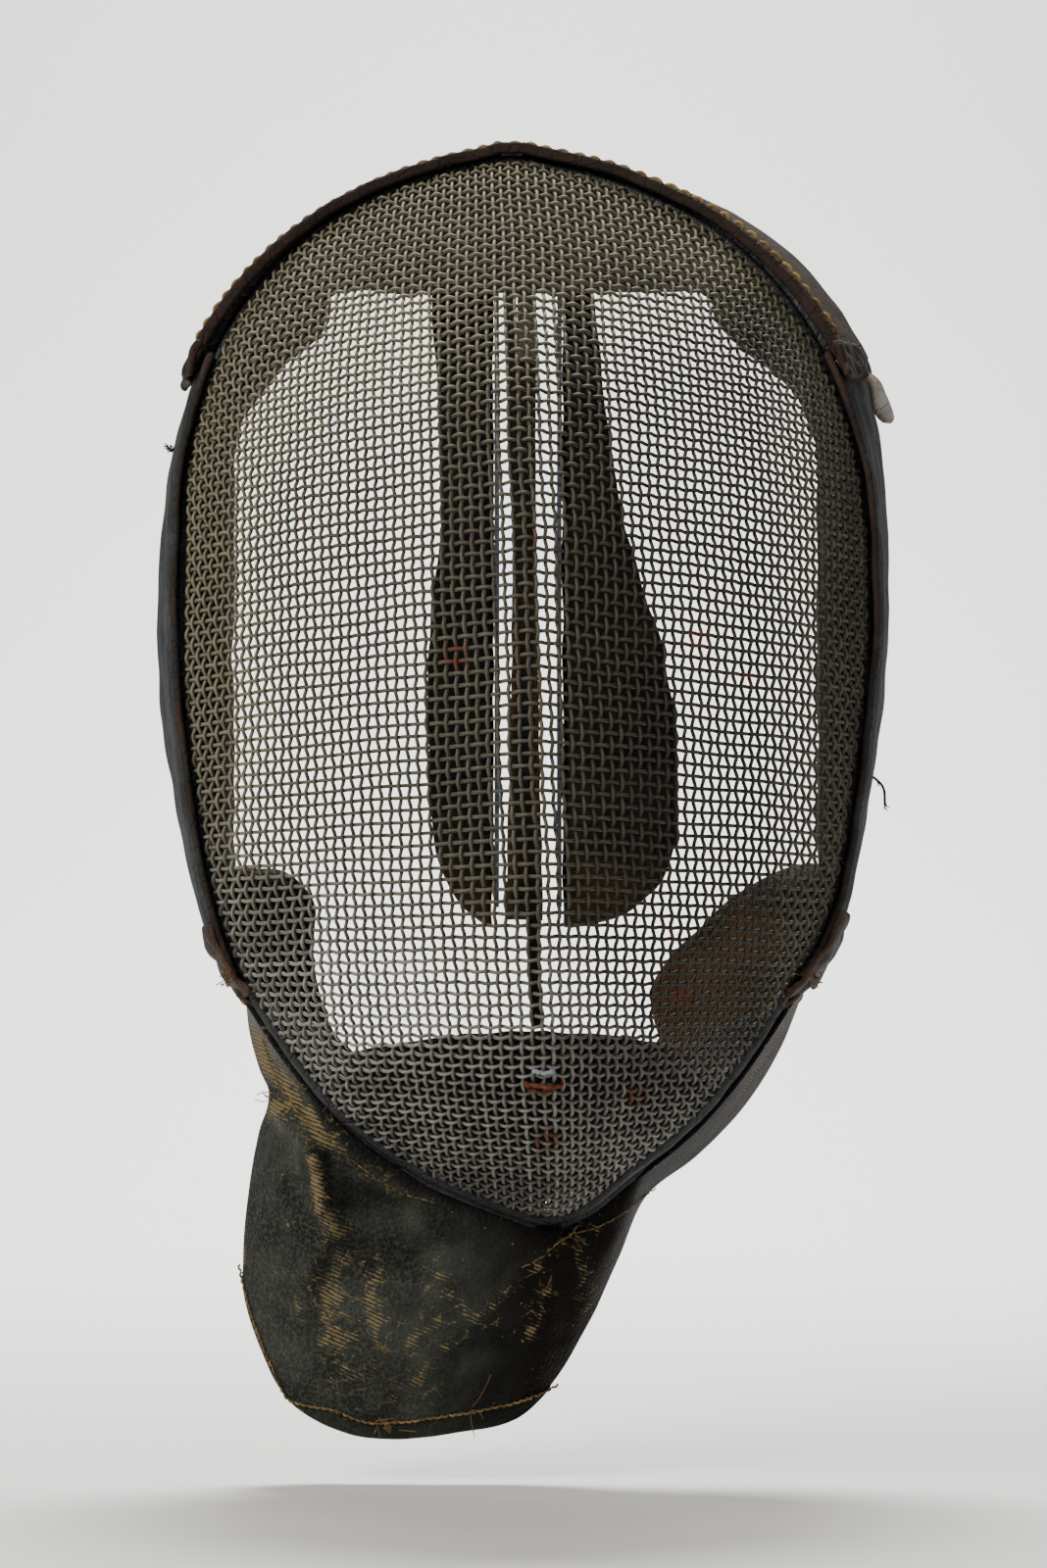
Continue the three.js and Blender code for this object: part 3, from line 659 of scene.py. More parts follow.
# How far the band stands off, from its left end (-1) to its right (1): shares of the flare, front and back.
CROWN_SECTIONS = np.array([
    (-1, 0.4, 0.66), (-0.8, 0.3, 0.52), (-0.5, 0.19, 0.38), (0, 0.19, 0.45),
    (0.2, 0.2, 0.66), (0.35, 0.2, 0.77), (0.7, 0.23, 1.06), (1, 0.3, 1.14),
])
crown_along = run_through(CROWN_SECTIONS[:, 0], CROWN_SECTIONS)


def crown_out(along, back):
    stand_off = crown_along(along)
    share = (back + CROWN_LIP) / CROWN_WIDTH
    return CROWN_FLARE * (stand_off[..., 1] * (1 - share) + stand_off[..., 2] * share)


def crown_inner(u, back):
    """A point of the crown band's inner face, from its left end (-1) to its right end (1)."""
    side = np.where(u < 0, -1, 1)
    return edge_point(side, np.abs(u) * along_at_drop(CROWN_END), crown_out(u, back), back)


def evened(count, length, rounding):
    """Shares from 0 to 1, closer together at both ends where a cut edge is rounded."""
    if not rounding:
        return np.linspace(0, 1, count)
    ends = np.array([0, 0.06, 0.25, 0.6]) * rounding / length
    shares = np.linspace(rounding / length, 1 - rounding / length, count)
    return np.concatenate([ends, shares, 1 - ends[::-1]])


class Cut:
    """A cut piece of leather or cloth: its length and width, and shares along (u) and across (v) it."""

    def __init__(self, length, width, counts, rounding=0.0):
        self.length, self.width = length, width
        self.u, self.v = map(evened, counts, (length, width), np.broadcast_to(rounding, 2))

    def over(self, start=0.0, end=1.0, back=0.0, depth=1.0):
        """Each point's place between start and end, and how far it lies from back on, within depth."""
        return np.meshgrid(start + (end - start) * self.u, self.v * depth + back, indexing="ij")


def grid_normals(grid):
    return unit(np.cross(np.gradient(grid, axis=0), np.gradient(grid, axis=1)))


def faced_outwards(piece):
    """Turns a closed piece's faces outwards."""
    points = np.array([v.co for v in piece.data.vertices])
    piece.data.calc_loop_triangles()
    triangles = np.array([t.vertices for t in piece.data.loop_triangles])
    a, b, c = points[triangles].swapaxes(0, 1)
    if np.einsum("ij,ij->i", a, np.cross(b, c)).sum() < 0:
        piece.data.flip_normals()
    return piece


def skin(name, cut, middle, thickness, ripple, seed, material, slot, swell=0.0):
    """A piece of leather or cloth round a middle face, which is a grid of points. Its cut edges are rounded.
    ripple is the size and height of its unevenness, and swell adds thickness by place."""
    rows, columns = middle.shape[:2]
    middle = rippled(middle.reshape(-1, 3), *ripple, seed).reshape(middle.shape)
    outward = grid_normals(middle)
    edge = np.minimum(np.minimum(cut.u, 1 - cut.u)[:, None] * cut.length,
                      np.minimum(cut.v, 1 - cut.v)[None, :] * cut.width)
    half = np.broadcast_to(np.asarray(thickness) / 2, (rows, columns))
    near = np.clip(1 - edge / np.maximum(half, 1e-9), 0, 1)
    half = half * np.sqrt(np.maximum(1 - near**2, 0.02)) + swell
    outer, inner = middle + outward * half[..., None], middle - outward * half[..., None]
    points = np.concatenate([outer.reshape(-1, 3), inner.reshape(-1, 3)])
    size = rows * columns

    def at(i, j, side):
        return side * size + i * columns + j

    faces = []
    for i in range(rows - 1):
        for j in range(columns - 1):
            faces.append((at(i, j, 0), at(i + 1, j, 0), at(i + 1, j + 1, 0), at(i, j + 1, 0)))
            faces.append((at(i, j, 1), at(i, j + 1, 1), at(i + 1, j + 1, 1), at(i + 1, j, 1)))
    border = [(0, j) for j in range(columns)] + [(i, columns - 1) for i in range(1, rows)]
    border += [(rows - 1, j) for j in range(columns - 2, -1, -1)] + [(i, 0) for i in range(rows - 2, -1, -1)]
    faces += [(at(*a, 0), at(*b, 0), at(*b, 1), at(*a, 1)) for a, b in zip(border, border[1:])]
    piece = mesh_object(name, points, faces)
    run = np.stack(np.broadcast_arrays(cut.u[:, None] * cut.length, cut.v[None, :] * cut.width), -1)
    corners = np.empty(len(piece.data.loops), np.int32)
    piece.data.loops.foreach_get("vertex_index", corners)
    piece.data.uv_layers.new(name="run").data.foreach_set("uv", run.reshape(-1, 2)[corners % size].ravel())
    mark(piece, "edge", np.tile(edge.ravel(), 2))
    return fitted(faced_outwards(piece), material)


def crown_wear(hide):
    """The front edge is dark with grease, and the back is dry and grey."""
    _, across = hide.run()
    return (across + (hide.speckle(0.004) - 0.5) * 0.008).rise(0.007, 0.011) * 0.75


crown_leather = leather("crown_leather", "#170f0c", "#38261f", "#463d38",
                        worn_edges(0.0012, 0.25, crown_wear), grain=0.0014, scuffs=0.6, rough=0.62, shine=0.08)
CROWN_LENGTH = 0.27
# The front edge is rolled, so that it is thicker there.
CROWN_ROLL = 0.0007
crown_cut = Cut(CROWN_LENGTH, CROWN_WIDTH, (230, 26), 0.001)
crown_middle = crown_inner(*crown_cut.over(-1, 1, -CROWN_LIP, CROWN_WIDTH))
crown_outward = grid_normals(crown_middle)
crown_outward *= np.sign(crown_outward[len(crown_cut.u) // 2, 5, 2])
crown = skin("crown_strap", crown_cut, crown_middle + crown_outward * BAND_THICKNESS / 2, BAND_THICKNESS,
             (0.009, 0.0004), 1.0, crown_leather, "brown_leather",
             CROWN_ROLL * (1 - smoothstep(crown_cut.v * CROWN_WIDTH, 0.001, 0.005)))
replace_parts(crown, "crown_band")

# Each end of the band is turned under and trodden hard, in a dark lump.
TURN_START, TURN_END = 0.955, 1.05
TURN_LENGTH, TURN_DEPTH = 0.012, 0.031
TURN_THICKNESS = 0.0026
# How far it stands out in front of the band, how deep it sits on it, and how far its end sinks.
TURN_LIP, TURN_SEAT, TURN_SINK = 0.0012, BAND_THICKNESS * 0.8, 0.0012
turned_leather = leather("turned_leather", "#120d0b", "#2c1f19", "#4d392e", worn_edges(0.001, 0.4),
                         grain=0.001, scuffs=0.8, rough=0.5, shine=0.12)
for side, name in SIDES:
    turn_cut = Cut(TURN_LENGTH, TURN_DEPTH, (40, 30), 0.0012)
    places, backs = turn_cut.over(side * TURN_START, side * TURN_END, -CROWN_LIP - TURN_LIP, TURN_DEPTH)
    out = crown_out(np.clip(places, -1, 1), backs) + TURN_SEAT - TURN_SINK * turn_cut.u[:, None] ** 2
    turn_middle = edge_point(np.sign(places), np.abs(places) * along_at_drop(CROWN_END), out, backs)
    skin(f"crown_turn_{name}", turn_cut, turn_middle, TURN_THICKNESS, (0.0045, 0.0012), 11.0 + side,
         turned_leather, "brown_leather")

# The band's stitches, and the fibres that stick out of its cut ends.
STITCH_RADIUS, STITCH_PITCH, STITCH_LENGTH, STITCH_LIFT = 0.0006, 0.0047, 0.0037, 0.00042
SEAM_BACK = 0.0022
FRAY_RADIUS = 0.00012


def stitch_row(strands, line, outward, pitch, length, radius, lift):
    """Sewn stitches along a line: each comes up, lies on the leather and goes down again."""
    gone = run_length(line)
    for start in np.arange(pitch / 2, gone[-1] - length, pitch):
        start = start + seeded.uniform(-0.1, 0.1) * pitch
        places = start + np.linspace(0, 1, 6) * length * seeded.uniform(0.85, 1.1)
        path = np.stack([np.interp(places, gone, line[:, k]) for k in range(3)], -1)
        up = unit(np.stack([np.interp(places, gone, outward[:, k]) for k in range(3)], -1))
        bow = np.array([-0.9, 0.35, 1, 1, 0.35, -0.9]) * lift
        strands.add(path + up * bow[:, None], up, radius, 6, seeded.uniform(0, 1))


def thread(name, dark, light, stain, fibre):
    """Twisted thread: every stitch has a tone of its own, and its fibres are stained."""
    sewn = Finish(name)
    fibres = sewn.speckle(fibre, 3.0)
    tint = sewn.mix(colour(dark), colour(light), sewn.marked("tone"))
    tint = sewn.mix(tint, colour(stain), fibres.rise(0.5, 0.75) * 0.7)
    return sewn.done(tint, 0.85, 0.0, fibres, 0.0002)


crown_stitches = Strands()
seam_u = np.linspace(-0.97, 0.97, 400)
seam_side, seam_along = np.where(seam_u < 0, -1, 1), np.abs(seam_u) * along_at_drop(CROWN_END)
seam_out = unit(edge_point(seam_side, seam_along, 1.0, 0.0) - edge_point(seam_side, seam_along, 0.0, 0.0))
seam_line = crown_inner(seam_u, SEAM_BACK) + seam_out * (BAND_THICKNESS + CROWN_ROLL)
stitch_row(crown_stitches, seam_line, seam_out, STITCH_PITCH, STITCH_LENGTH, STITCH_RADIUS, STITCH_LIFT)


def tuft(strands, at, aim, count, length, spread, radius=FRAY_RADIUS):
    """Loose fibres that stick out of a cut edge, each bent its own way."""
    ahead = unit(np.asarray(aim, float))
    places = np.linspace(0, 1, 6)[:, None]
    for _ in range(count):
        start = np.asarray(at, float) + seeded.normal(0, spread, 3)
        lean, curl = unit(ahead + seeded.normal(0, 0.5, 3)), seeded.normal(0, 0.6, 3)
        path = start + length * seeded.uniform(0.4, 1.2) * (lean * places + curl * places**2 / 2)
        strands.add(path, np.tile([0.3, -1.0, 0.2], (6, 1)), radius, 4, seeded.uniform(0, 1))


for end in (-1, 1):
    for back in np.linspace(-0.002, 0.03, 12):
        tuft(crown_stitches, crown_inner(end * 0.998, back), (end * 0.4, -0.2, -1), 5, 0.0022, 0.0007)
ochre_thread = thread("sewing_thread", "#755a2f", "#a5884f", "#5a3c1e", 0.0006)
crown_stitches.piece("crown_stitches", ochre_thread, "brown_leather")

# The side bands: black leather straps that stand back from the wire's edge on each side, rubbed brown along
# their inner edge, with their lower ends frayed and folded over.
BAND_DEPTH = 0.046
BAND_LIP = 0.004
BAND_LIP_OUT = 0.001
BAND_FLARE = 0.011
BAND_TOP = 0.215
BAND_END = 0.772
SEAM_GAP = 0.0006
# How far each band stands off at its back, from its top (0) to its end (1): shares of the flare.
BAND_SECTIONS = np.array([
    (0, 0.72, 1.3), (0.12, 0.75, 0.98), (0.25, 0.78, 0.8), (0.55, 0.86, 0.7), (0.75, 0.72, 0.6),
    (0.85, 0.64, 0.55), (1, 0.54, 0.72),
])
band_along = run_through(BAND_SECTIONS[:, 0], BAND_SECTIONS)


def band_out(side, along, back):
    drop = level_along(along)[..., 0]
    share = np.clip((drop - BAND_TOP) / (BAND_END - BAND_TOP), 0, 1)
    flare = BAND_FLARE * band_along(share)[..., 1 if side < 0 else 2]
    clear = BINDING_OUT + BINDING_RADIUS + SEAM_GAP
    lip = BAND_LIP_OUT + (clear - BAND_LIP_OUT) * (back + BAND_LIP) / (BINDING_BACK + BAND_LIP)
    behind = clear + (flare - clear) * (back - BINDING_BACK) / (BAND_DEPTH - BINDING_BACK)
    return np.where(back < BINDING_BACK, lip, behind)


def band_wear(hide):
    """Brown along the inner edge, where the black has rubbed off."""
    _, across = hide.run()
    brown = (across + (hide.speckle(0.005, 5.0) - 0.5) * 0.008).rise(0.004, 0.0)
    return brown * hide.speckle(0.02).rise(0.5, 0.66) * 0.8


band_leather = leather("band_leather", "#191b1c", "#3a3d3e", "#44352a", worn_edges(0.001, 0.4, band_wear),
                       grain=0.0011, scuffs=0.8, rough=0.65, shine=0.06)
fold_leather = leather("fold_leather", "#1a1411", "#3a2d25", "#5e4634", worn_edges(0.0016, 0.6),
                       grain=0.0011, scuffs=1.0, rough=0.6, shine=0.15)
waxed_thread = thread("waxed_thread", "#5f4628", "#94784c", "#3a2614", 0.0007)
BAND_LENGTH = 0.18
# Each band starts a little way up under the crown band's end.
BAND_TUCK = 0.02
# The fold at each band's lower end: from which drop to which, its size, and how far it bulges.
FOLD_START, FOLD_END = 0.735, 0.84
FOLD_LENGTH, FOLD_DEPTH = 0.03, 0.020
FOLD_THICKNESS = 0.0014
FOLD_BULGE = 0.0022
FOLD_BULGE_AT, FOLD_BULGE_WIDTH = 0.787, 0.012
FOLD_TUCK = 0.0014
# Over each band's lower end lies a crumpled flap of its own leather, whose tip sinks towards the band.
CRUMPLE_START = {"left": 0.725, "right": 0.712}
CRUMPLE_END = {"left": 0.79, "right": 0.792}
CRUMPLE_LENGTH, CRUMPLE_DEPTH = 0.022, 0.017
CRUMPLE_THICKNESS = 0.0018
CRUMPLE_LIP = 0.0008
CRUMPLE_WAVE = 0.0006
CRUMPLE_SINK = 0.0026
# Where the frayed end's fibres start: a little above the end, and a little out from it.
FRAY_ABOVE, FRAY_OUT = 0.004, 0.001
band_threads = Strands()
for side, name in SIDES:
    band_cut = Cut(BAND_LENGTH, BAND_DEPTH + BAND_LIP, (150, 34), 0.001)
    places, backs = band_cut.over(*along_at_drop([BAND_TOP - BAND_TUCK, BAND_END]), -BAND_LIP,
                                  BAND_DEPTH + BAND_LIP)
    middle = edge_point(side, places, band_out(side, places, backs) + BAND_THICKNESS / 2, backs)
    band = skin(f"side_strap_{name}", band_cut, middle, BAND_THICKNESS, (0.011, 0.0005), 5.0 + side,
                band_leather, "black_leather")
    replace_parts(band, f"side_band_{name}")

    fold_cut = Cut(FOLD_LENGTH, FOLD_DEPTH, (60, 16), 0.0008)
    places, backs = fold_cut.over(*along_at_drop([FOLD_START, FOLD_END]), BAND_LIP / 2, FOLD_DEPTH)
    from_bulge = (level_along(places)[..., 0] - FOLD_BULGE_AT) / FOLD_BULGE_WIDTH
    bulge = FOLD_BULGE * np.exp(-(from_bulge**2))
    middle = edge_point(side, places, band_out(side, places, backs) - FOLD_TUCK + bulge, backs)
    skin(f"band_fold_{name}", fold_cut, middle, FOLD_THICKNESS, (0.007, 0.0009), 15.0 + side,
         fold_leather, "black_leather")

    crumple_cut = Cut(CRUMPLE_LENGTH, CRUMPLE_DEPTH, (60, 24), 0.0008)
    places, backs = crumple_cut.over(*along_at_drop([CRUMPLE_START[name], CRUMPLE_END[name]]),
                                     -BAND_LIP - CRUMPLE_LIP, CRUMPLE_DEPTH)
    wave = BAND_THICKNESS + CRUMPLE_THICKNESS / 2 - CRUMPLE_WAVE + CRUMPLE_WAVE * np.sin(7 * crumple_cut.u)
    stand_off = wave - CRUMPLE_SINK * smoothstep(crumple_cut.u, 0.75, 1.0)
    middle = edge_point(side, places, band_out(side, places, backs) + stand_off[:, None], backs)
    skin(f"band_end_{name}", crumple_cut, middle, CRUMPLE_THICKNESS, (0.0055, 0.0013), 17.0 + side,
         fold_leather, "black_leather")

    for back in np.linspace(-0.003, 0.012, 9):
        at = edge_point(side, along_at_drop(BAND_END - FRAY_ABOVE),
                        band_out(side, along_at_drop(BAND_END), back) + FRAY_OUT, back)
        tuft(band_threads, at, (side * 0.3, -0.8, -1), 6, 0.0028, 0.001, 0.00016)
band_threads.piece("band_threads", waxed_thread, "brown_leather")

# The rim's skirt: the binding's leather runs on behind the roll, out to the bands and the bib that are sewn
# to it, and in behind the chin's wire. It is black and mostly in shadow.
SKIRT_BACK = 0.0026
SKIRT_THICKNESS = 0.0012
SKIRT_REACH_IN = 0.013
SKIRT_REACH_OUT = 0.0040
SKIRT_LENGTH, SKIRT_WIDTH = 0.42, 0.006
SKIRT_GAP = 0.0001
for side, name in SIDES:
    skirt_cut = Cut(SKIRT_LENGTH, SKIRT_WIDTH, (260, 14), (0, 0.0005))
    places, share = skirt_cut.over()
    drop = level_along(places)[..., 0]
    backs = np.full(places.shape, SKIRT_BACK + SKIRT_THICKNESS)
    under_crown = crown_out(side * np.clip(places / along_at_drop(CROWN_END), 0, 1), backs) - SKIRT_GAP
    under_band = band_out(side, places, backs) - SKIRT_GAP
    reach = under_crown + (under_band - under_crown) * smoothstep(drop, CROWN_END - 0.01, BAND_TOP)
    reach += (SKIRT_REACH_OUT - reach) * smoothstep(drop, BAND_END - 0.02, BAND_END + 0.03)
    inward = -SKIRT_REACH_IN * smoothstep(drop, 0.79, 0.87)
    middle = edge_point(side, places, inward + (reach - inward) * share, backs)
    middle[..., 0] = side * np.maximum(side * middle[..., 0], side * ridge_x(middle[..., 2]))
    skin(f"rim_skirt_{name}", skirt_cut, middle, SKIRT_THICKNESS, (0.008, 0.0002), 80.0 + side,
         binding_leather, "black_leather")

# The side linings and the forehead pad: bags of brown cotton stuffed with hair, sewn inside the bands where
# the head touches. They are grubby.
LINING_THICKNESS = 0.015
LINING_TOP_THICKNESS = 0.023
LINING_FRONT = 0.012
LINING_BACK = 0.042
LINING_TOP_BACK = 0.028
LINING_FRONT_SHARE = 0.25
LINING_TOP = 0.116
LINING_SPREAD = 0.315
LINING_END = 0.66
# Each end runs on a little under the piece next to it.
LINING_TUCK = 0.025
# How far from the middle the linings' inner sides hang, straight down.
LINING_INNER = {"left": 0.0842, "right": 0.0853}
LINING_LENGTH, LINING_WIDTH = 0.17, 0.03
WEAVE_PITCH = 0.0009


def padding(name, dark, light, stain):
    """Coarse cotton: a plain weave, blotched and rubbed."""
    cotton = Finish(name)
    x, y, z = cotton.parts(cotton.place())
    patches = cotton.speckle(0.012, 5.0, 0.65)
    warp = (z * (2 * math.pi / WEAVE_PITCH)).math("SINE")
    weft = ((x + y) * (2 * math.pi / WEAVE_PITCH)).math("SINE")
    weave = warp * weft * 0.5 + 0.5
    tint = cotton.mix(colour(dark), colour(light), patches.rise(0.3, 0.7))
    tint = cotton.mix(tint, colour(dark), weave * 0.4)
    tint = cotton.mix(tint, colour(stain), cotton.speckle(0.02, 4.0, 0.6, 1.0).rise(0.58, 0.7) * 0.6)
    return cotton.done(tint, 0.9, 0.0, weave * 0.5 + patches, 0.0004)


lining_cotton = padding("lining_cotton", "#1d1b16", "#353226", "#191209")


def bag(name, cut, outer, inner, *rest):
    """A stuffed bag between two faces, which meet in a seam all round."""
    return skin(name, cut, (outer + inner) / 2, np.linalg.norm(outer - inner, axis=-1), *rest)


for side, name in SIDES:
    lining_cut = Cut(LINING_LENGTH, LINING_WIDTH, (90, 26))
    places, v = lining_cut.over(*along_at_drop([LINING_TOP - LINING_TUCK, LINING_END + LINING_TUCK]))
    spread = smoothstep(level_along(places)[..., 0], LINING_TOP, LINING_SPREAD)
    backs = LINING_FRONT + (LINING_TOP_BACK + (LINING_BACK - LINING_TOP_BACK) * spread - LINING_FRONT) * v
    out = band_out(side, places, backs) - SEAM_GAP
    full = np.sin(math.pi / 2 * np.minimum(1, 2 * v + LINING_FRONT_SHARE))
    outer = edge_point(side, places, out, backs)
    stuffed = LINING_TOP_THICKNESS + (LINING_THICKNESS - LINING_TOP_THICKNESS) * spread
    inner = edge_point(side, places, out - stuffed * full, backs)
    straight = side * LINING_INNER[name] * full + outer[..., 0] * (1 - full)
    inner[..., 0] += (straight - inner[..., 0]) * spread
    lining = bag(f"lining_bag_{name}", lining_cut, outer, inner, (0.012, 0.0012), 9.0 + side, lining_cotton,
                 "padding_cloth")
    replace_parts(lining, f"side_lining_{name}")

# The corner cloths: cotton pieces that close the corners between the forehead pad and the side linings. They
# are sewn to the rim behind the wire, and only their inner edges are free.
CORNER_START, CORNER_END = 0.03, 0.3
CORNER_BACK = 0.011
CORNER_LENGTH, CORNER_WIDTH = 0.08, 0.03
CORNER_THICKNESS = 0.0016
CORNER_SLOPE = 0.002
# Their inner edges, seen from the front: x and z in metres.
CORNER_LEFT = np.array([
    (-0.044, 0.0075), (-0.0545, 0.0009), (-0.0625, -0.0045), (-0.0703, -0.0127), (-0.0775, -0.0225),
    (-0.0832, -0.0345), (-0.0848, -0.050),
])
CORNER_RIGHT = np.array([
    (0.041, 0.0065), (0.0513, 0.0003), (0.0622, -0.0098), (0.0695, -0.0165), (0.0766, -0.0243),
    (0.0835, -0.0345), (0.0856, -0.050),
])


def along_outline(table, outline, shares):
    """A table's rows at shares of the way along the outline that its columns draw."""
    return run_through(spacing(outline), table)(shares)


for (side, name), inner_edge in zip(SIDES, (CORNER_LEFT, CORNER_RIGHT)):
    corner_cut = Cut(CORNER_LENGTH, CORNER_WIDTH, (50, 20), 0.001)
    edge = along_outline(inner_edge, inner_edge, corner_cut.u)
    start, end = along_at_drop([CORNER_START, CORNER_END])
    outer = edge_point(side, start + (end - start) * corner_cut.u, 0.0, CORNER_BACK)
    inner = np.stack([edge[:, 0], outer[:, 1] + CORNER_SLOPE, edge[:, 1]], -1)
    middle = outer[:, None] + (inner - outer)[:, None] * corner_cut.v[None, :, None]
    corner = skin(f"corner_cloth_{name}", corner_cut, middle, CORNER_THICKNESS, (0.011, 0.0008), 70.0 + side,
                  lining_cotton, "padding_cloth")

# The forehead pad: a long bag of the same cotton, sewn in under the crown band, where its lower edge sags.
FOREHEAD_THICKNESS = 0.010
FOREHEAD_BELLY = 0.004
FOREHEAD_BACK = 0.015
FOREHEAD_END = 0.1
forehead_cut = Cut(0.12, 0.035, (90, 26))
u, v = forehead_cut.over(-1, 1)
out = crown_out(np.zeros_like(u), FOREHEAD_BACK - FOREHEAD_THICKNESS) - SEAM_GAP


def forehead_face(front):
    back = FOREHEAD_BACK - front * FOREHEAD_THICKNESS
    top = edge_point(np.where(u < 0, -1, 1), np.abs(u) * along_at_drop(FOREHEAD_END), out, back)
    belly = FOREHEAD_BELLY * np.sin(math.pi * v) * (top[..., 2] / CROWN_RISE) * front
    return np.stack([top[..., 0], top[..., 1] - belly, top[..., 2] * (1 - v)], -1)


forehead_cotton = padding("forehead_cotton", "#2c2a22", "#4d4a3d", "#1c1913")
forehead = bag("forehead_bag", forehead_cut, forehead_face(1), forehead_face(0), (0.01, 0.0008), 2.0,
               forehead_cotton, "padding_cloth")
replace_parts(forehead, "forehead_pad")

# The cheek flaps: limp brown leather pieces that fold in from the side bands' lower ends, to close the gap
# beside the jaw. They are rubbed to a rusty brown, most on the right, and the rubbed brown is painted
# lighter than it is, as painted light inside the dim mask.
FLAP_THICKNESS = 0.003
FLAP_FRONT = 0.016
FLAP_BACK = 0.030
FLAP_BLEND = 0.742
SEAT_GAP = 0.00035
FLAP_LENGTH, FLAP_WIDTH = 0.06, 0.035
# The flaps' inner edges, down from the top: drop, and reach as a share of the face's half width.
FLAP_LEFT = np.array([(0.676, 0.86), (0.682, 0.69), (0.7, 0.635), (0.735, 0.62), (0.78, 0.62), (0.82, 0.59),
                      (0.858, 0.515)])
FLAP_RIGHT = np.array([(0.672, 0.86), (0.684, 0.73), (0.71, 0.6), (0.745, 0.48), (0.78, 0.39), (0.815, 0.385),
                       (0.858, 0.43)])


def rusty_rub_and_painted_light(hide):
    """The right flap is rubbed to a rusty brown where it lies against the wire, and the rubbed brown is painted
    lighter, as painted light inside the dim mask.
    """
    rubbed = (hide.spot(0.050, -0.207, 0.024, 0.3) + hide.spot(0.066, -0.188, 0.014, 0.3)).held()
    return rubbed * (hide.speckle(0.009, 5.0, 0.7) * 1.6).held()


# The worn colour #785639 is lighter than the rubbed leather is: painted light, where the inside of the mask is
# dim.
flap_leather = leather("flap_leather", "#1c1611", "#3a2c1f", "#785639", worn_edges(0.002, 0.5, rusty_rub_and_painted_light),
                       grain=0.0012, scuffs=1.0, rough=0.7)
for (side, name), table in zip(SIDES, (FLAP_LEFT, FLAP_RIGHT)):
    flap_cut = Cut(FLAP_LENGTH, FLAP_WIDTH, (50, 30), 0.0012)
    edge = along_outline(table, table * [FACE_HEIGHT, FACE_HALF_WIDTH], flap_cut.u)
    drop, reach, share = np.broadcast_arrays(edge[:, :1], edge[:, 1:], flap_cut.v[None, :])
    along = along_at_drop(drop)
    free = BINDING_OUT + BINDING_RADIUS + SEAT_GAP
    sewn = band_out(side, along, np.full_like(along, FLAP_FRONT)) - SEAM_GAP
    outer = edge_point(side, along, sewn + (free - sewn) * smoothstep(drop, FLAP_BLEND, BAND_END), FLAP_FRONT)
    inner = np.stack([side * reach * FACE_HALF_WIDTH, outer[..., 1] + FLAP_BACK - FLAP_FRONT,
                      height_at(drop)], -1)
    middle = outer + (inner - outer) * share[..., None] + np.array([0, FLAP_THICKNESS / 2, 0])
    flap = skin(f"cheek_leather_{name}", flap_cut, middle, FLAP_THICKNESS, (0.012, 0.0012), 20.0 + side,
                flap_leather, "brown_leather")
    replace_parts(flap, f"cheek_flap_{name}")

# The chin pad: a thin pad of black cloth behind the wire where the chin comes, with a dipped upper edge.
CHIN_THICKNESS = 0.004
CHIN_TOP = 0.835
CHIN_END = 0.99
CHIN_DIP = 0.03
CHIN_REACH = 0.95
CHIN_GAP = 0.0011
FACE_WALL = 0.002
chin_cut = Cut(0.05, 0.1, (40, 80))
u, v = chin_cut.over()
across = CHIN_REACH * (2 * v - 1)
high = along_at_drop(CHIN_TOP) + CHIN_DIP * across**2
along = high + (along_at_drop(CHIN_END) - high) * u
chin_outward = face_outward(along, across)
chin_front = face_point(along, across) - chin_outward * (FACE_WALL + CHIN_GAP)
chin_pad_cloth = padding("chin_cloth", "#161416", "#2a2625", "#3d2522")
chin = bag("chin_bag", chin_cut, chin_front, chin_front - chin_outward * CHIN_THICKNESS, (0.009, 0.0006), 4.0,
           chin_pad_cloth, "padding_cloth")
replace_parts(chin, "chin_pad")

# The sprung tongue: two blued steel prongs that hang from a yoke behind the forehead pad, a black leather
# pad outside each of them and a narrow strip between. It grips the back of the head.
TONGUE_LENGTH = 0.192
TONGUE_REACH = 0.046
TONGUE_BOW = 0.024
TONGUE_TOP = 0.008
TONGUE_SWEEP = 0.8
TONGUE_PAD_THICKNESS = 0.005
TONGUE_PAD_THINNING = 0.5
SPRING_THICKNESS = 0.0014
SPRING_WIDTH = 0.007
SPRING_LEFT = -0.0086
SPRING_RIGHT = 0.0099
STRIP_THICKNESS = 0.002
TONGUE_START = depth_at(1) + FOREHEAD_BACK + SEAT_GAP
PAD_WIDTH, STRIP_WIDTH = 0.03, 0.008
# The pads' outlines: down is a share of the tongue's length, reach a share of its widest reach.
PAD_LEFT = np.array([
    (0, 0.6), (0.37, 0.54), (0.54, 0.61), (0.84, 0.59), (0.92, 0.52), (0.97, 0.38), (1, 0.22),
])
PAD_RIGHT = np.array([
    (0, 0.43), (0.37, 0.65), (0.59, 0.92), (0.77, 1.0), (0.91, 0.93), (0.975, 0.68), (1, 0.3),
])
# The strip's outline: down, and how far to the right its two sides lie, as shares of the same two sizes.
STRIP = np.array([
    (0, -0.03, 0.08), (0.2, -0.06, 0.08), (0.6, -0.08, 0.09), (0.8, -0.1, 0.11), (0.99, -0.11, 0.125),
])


def tongue_plane(down):
    return TONGUE_START + TONGUE_BOW * np.sin(TONGUE_SWEEP * math.pi * np.maximum(down, 0))


def tongue_height(down):
    return TONGUE_TOP - down * TONGUE_LENGTH


blued_steel = Finish("blued_steel")
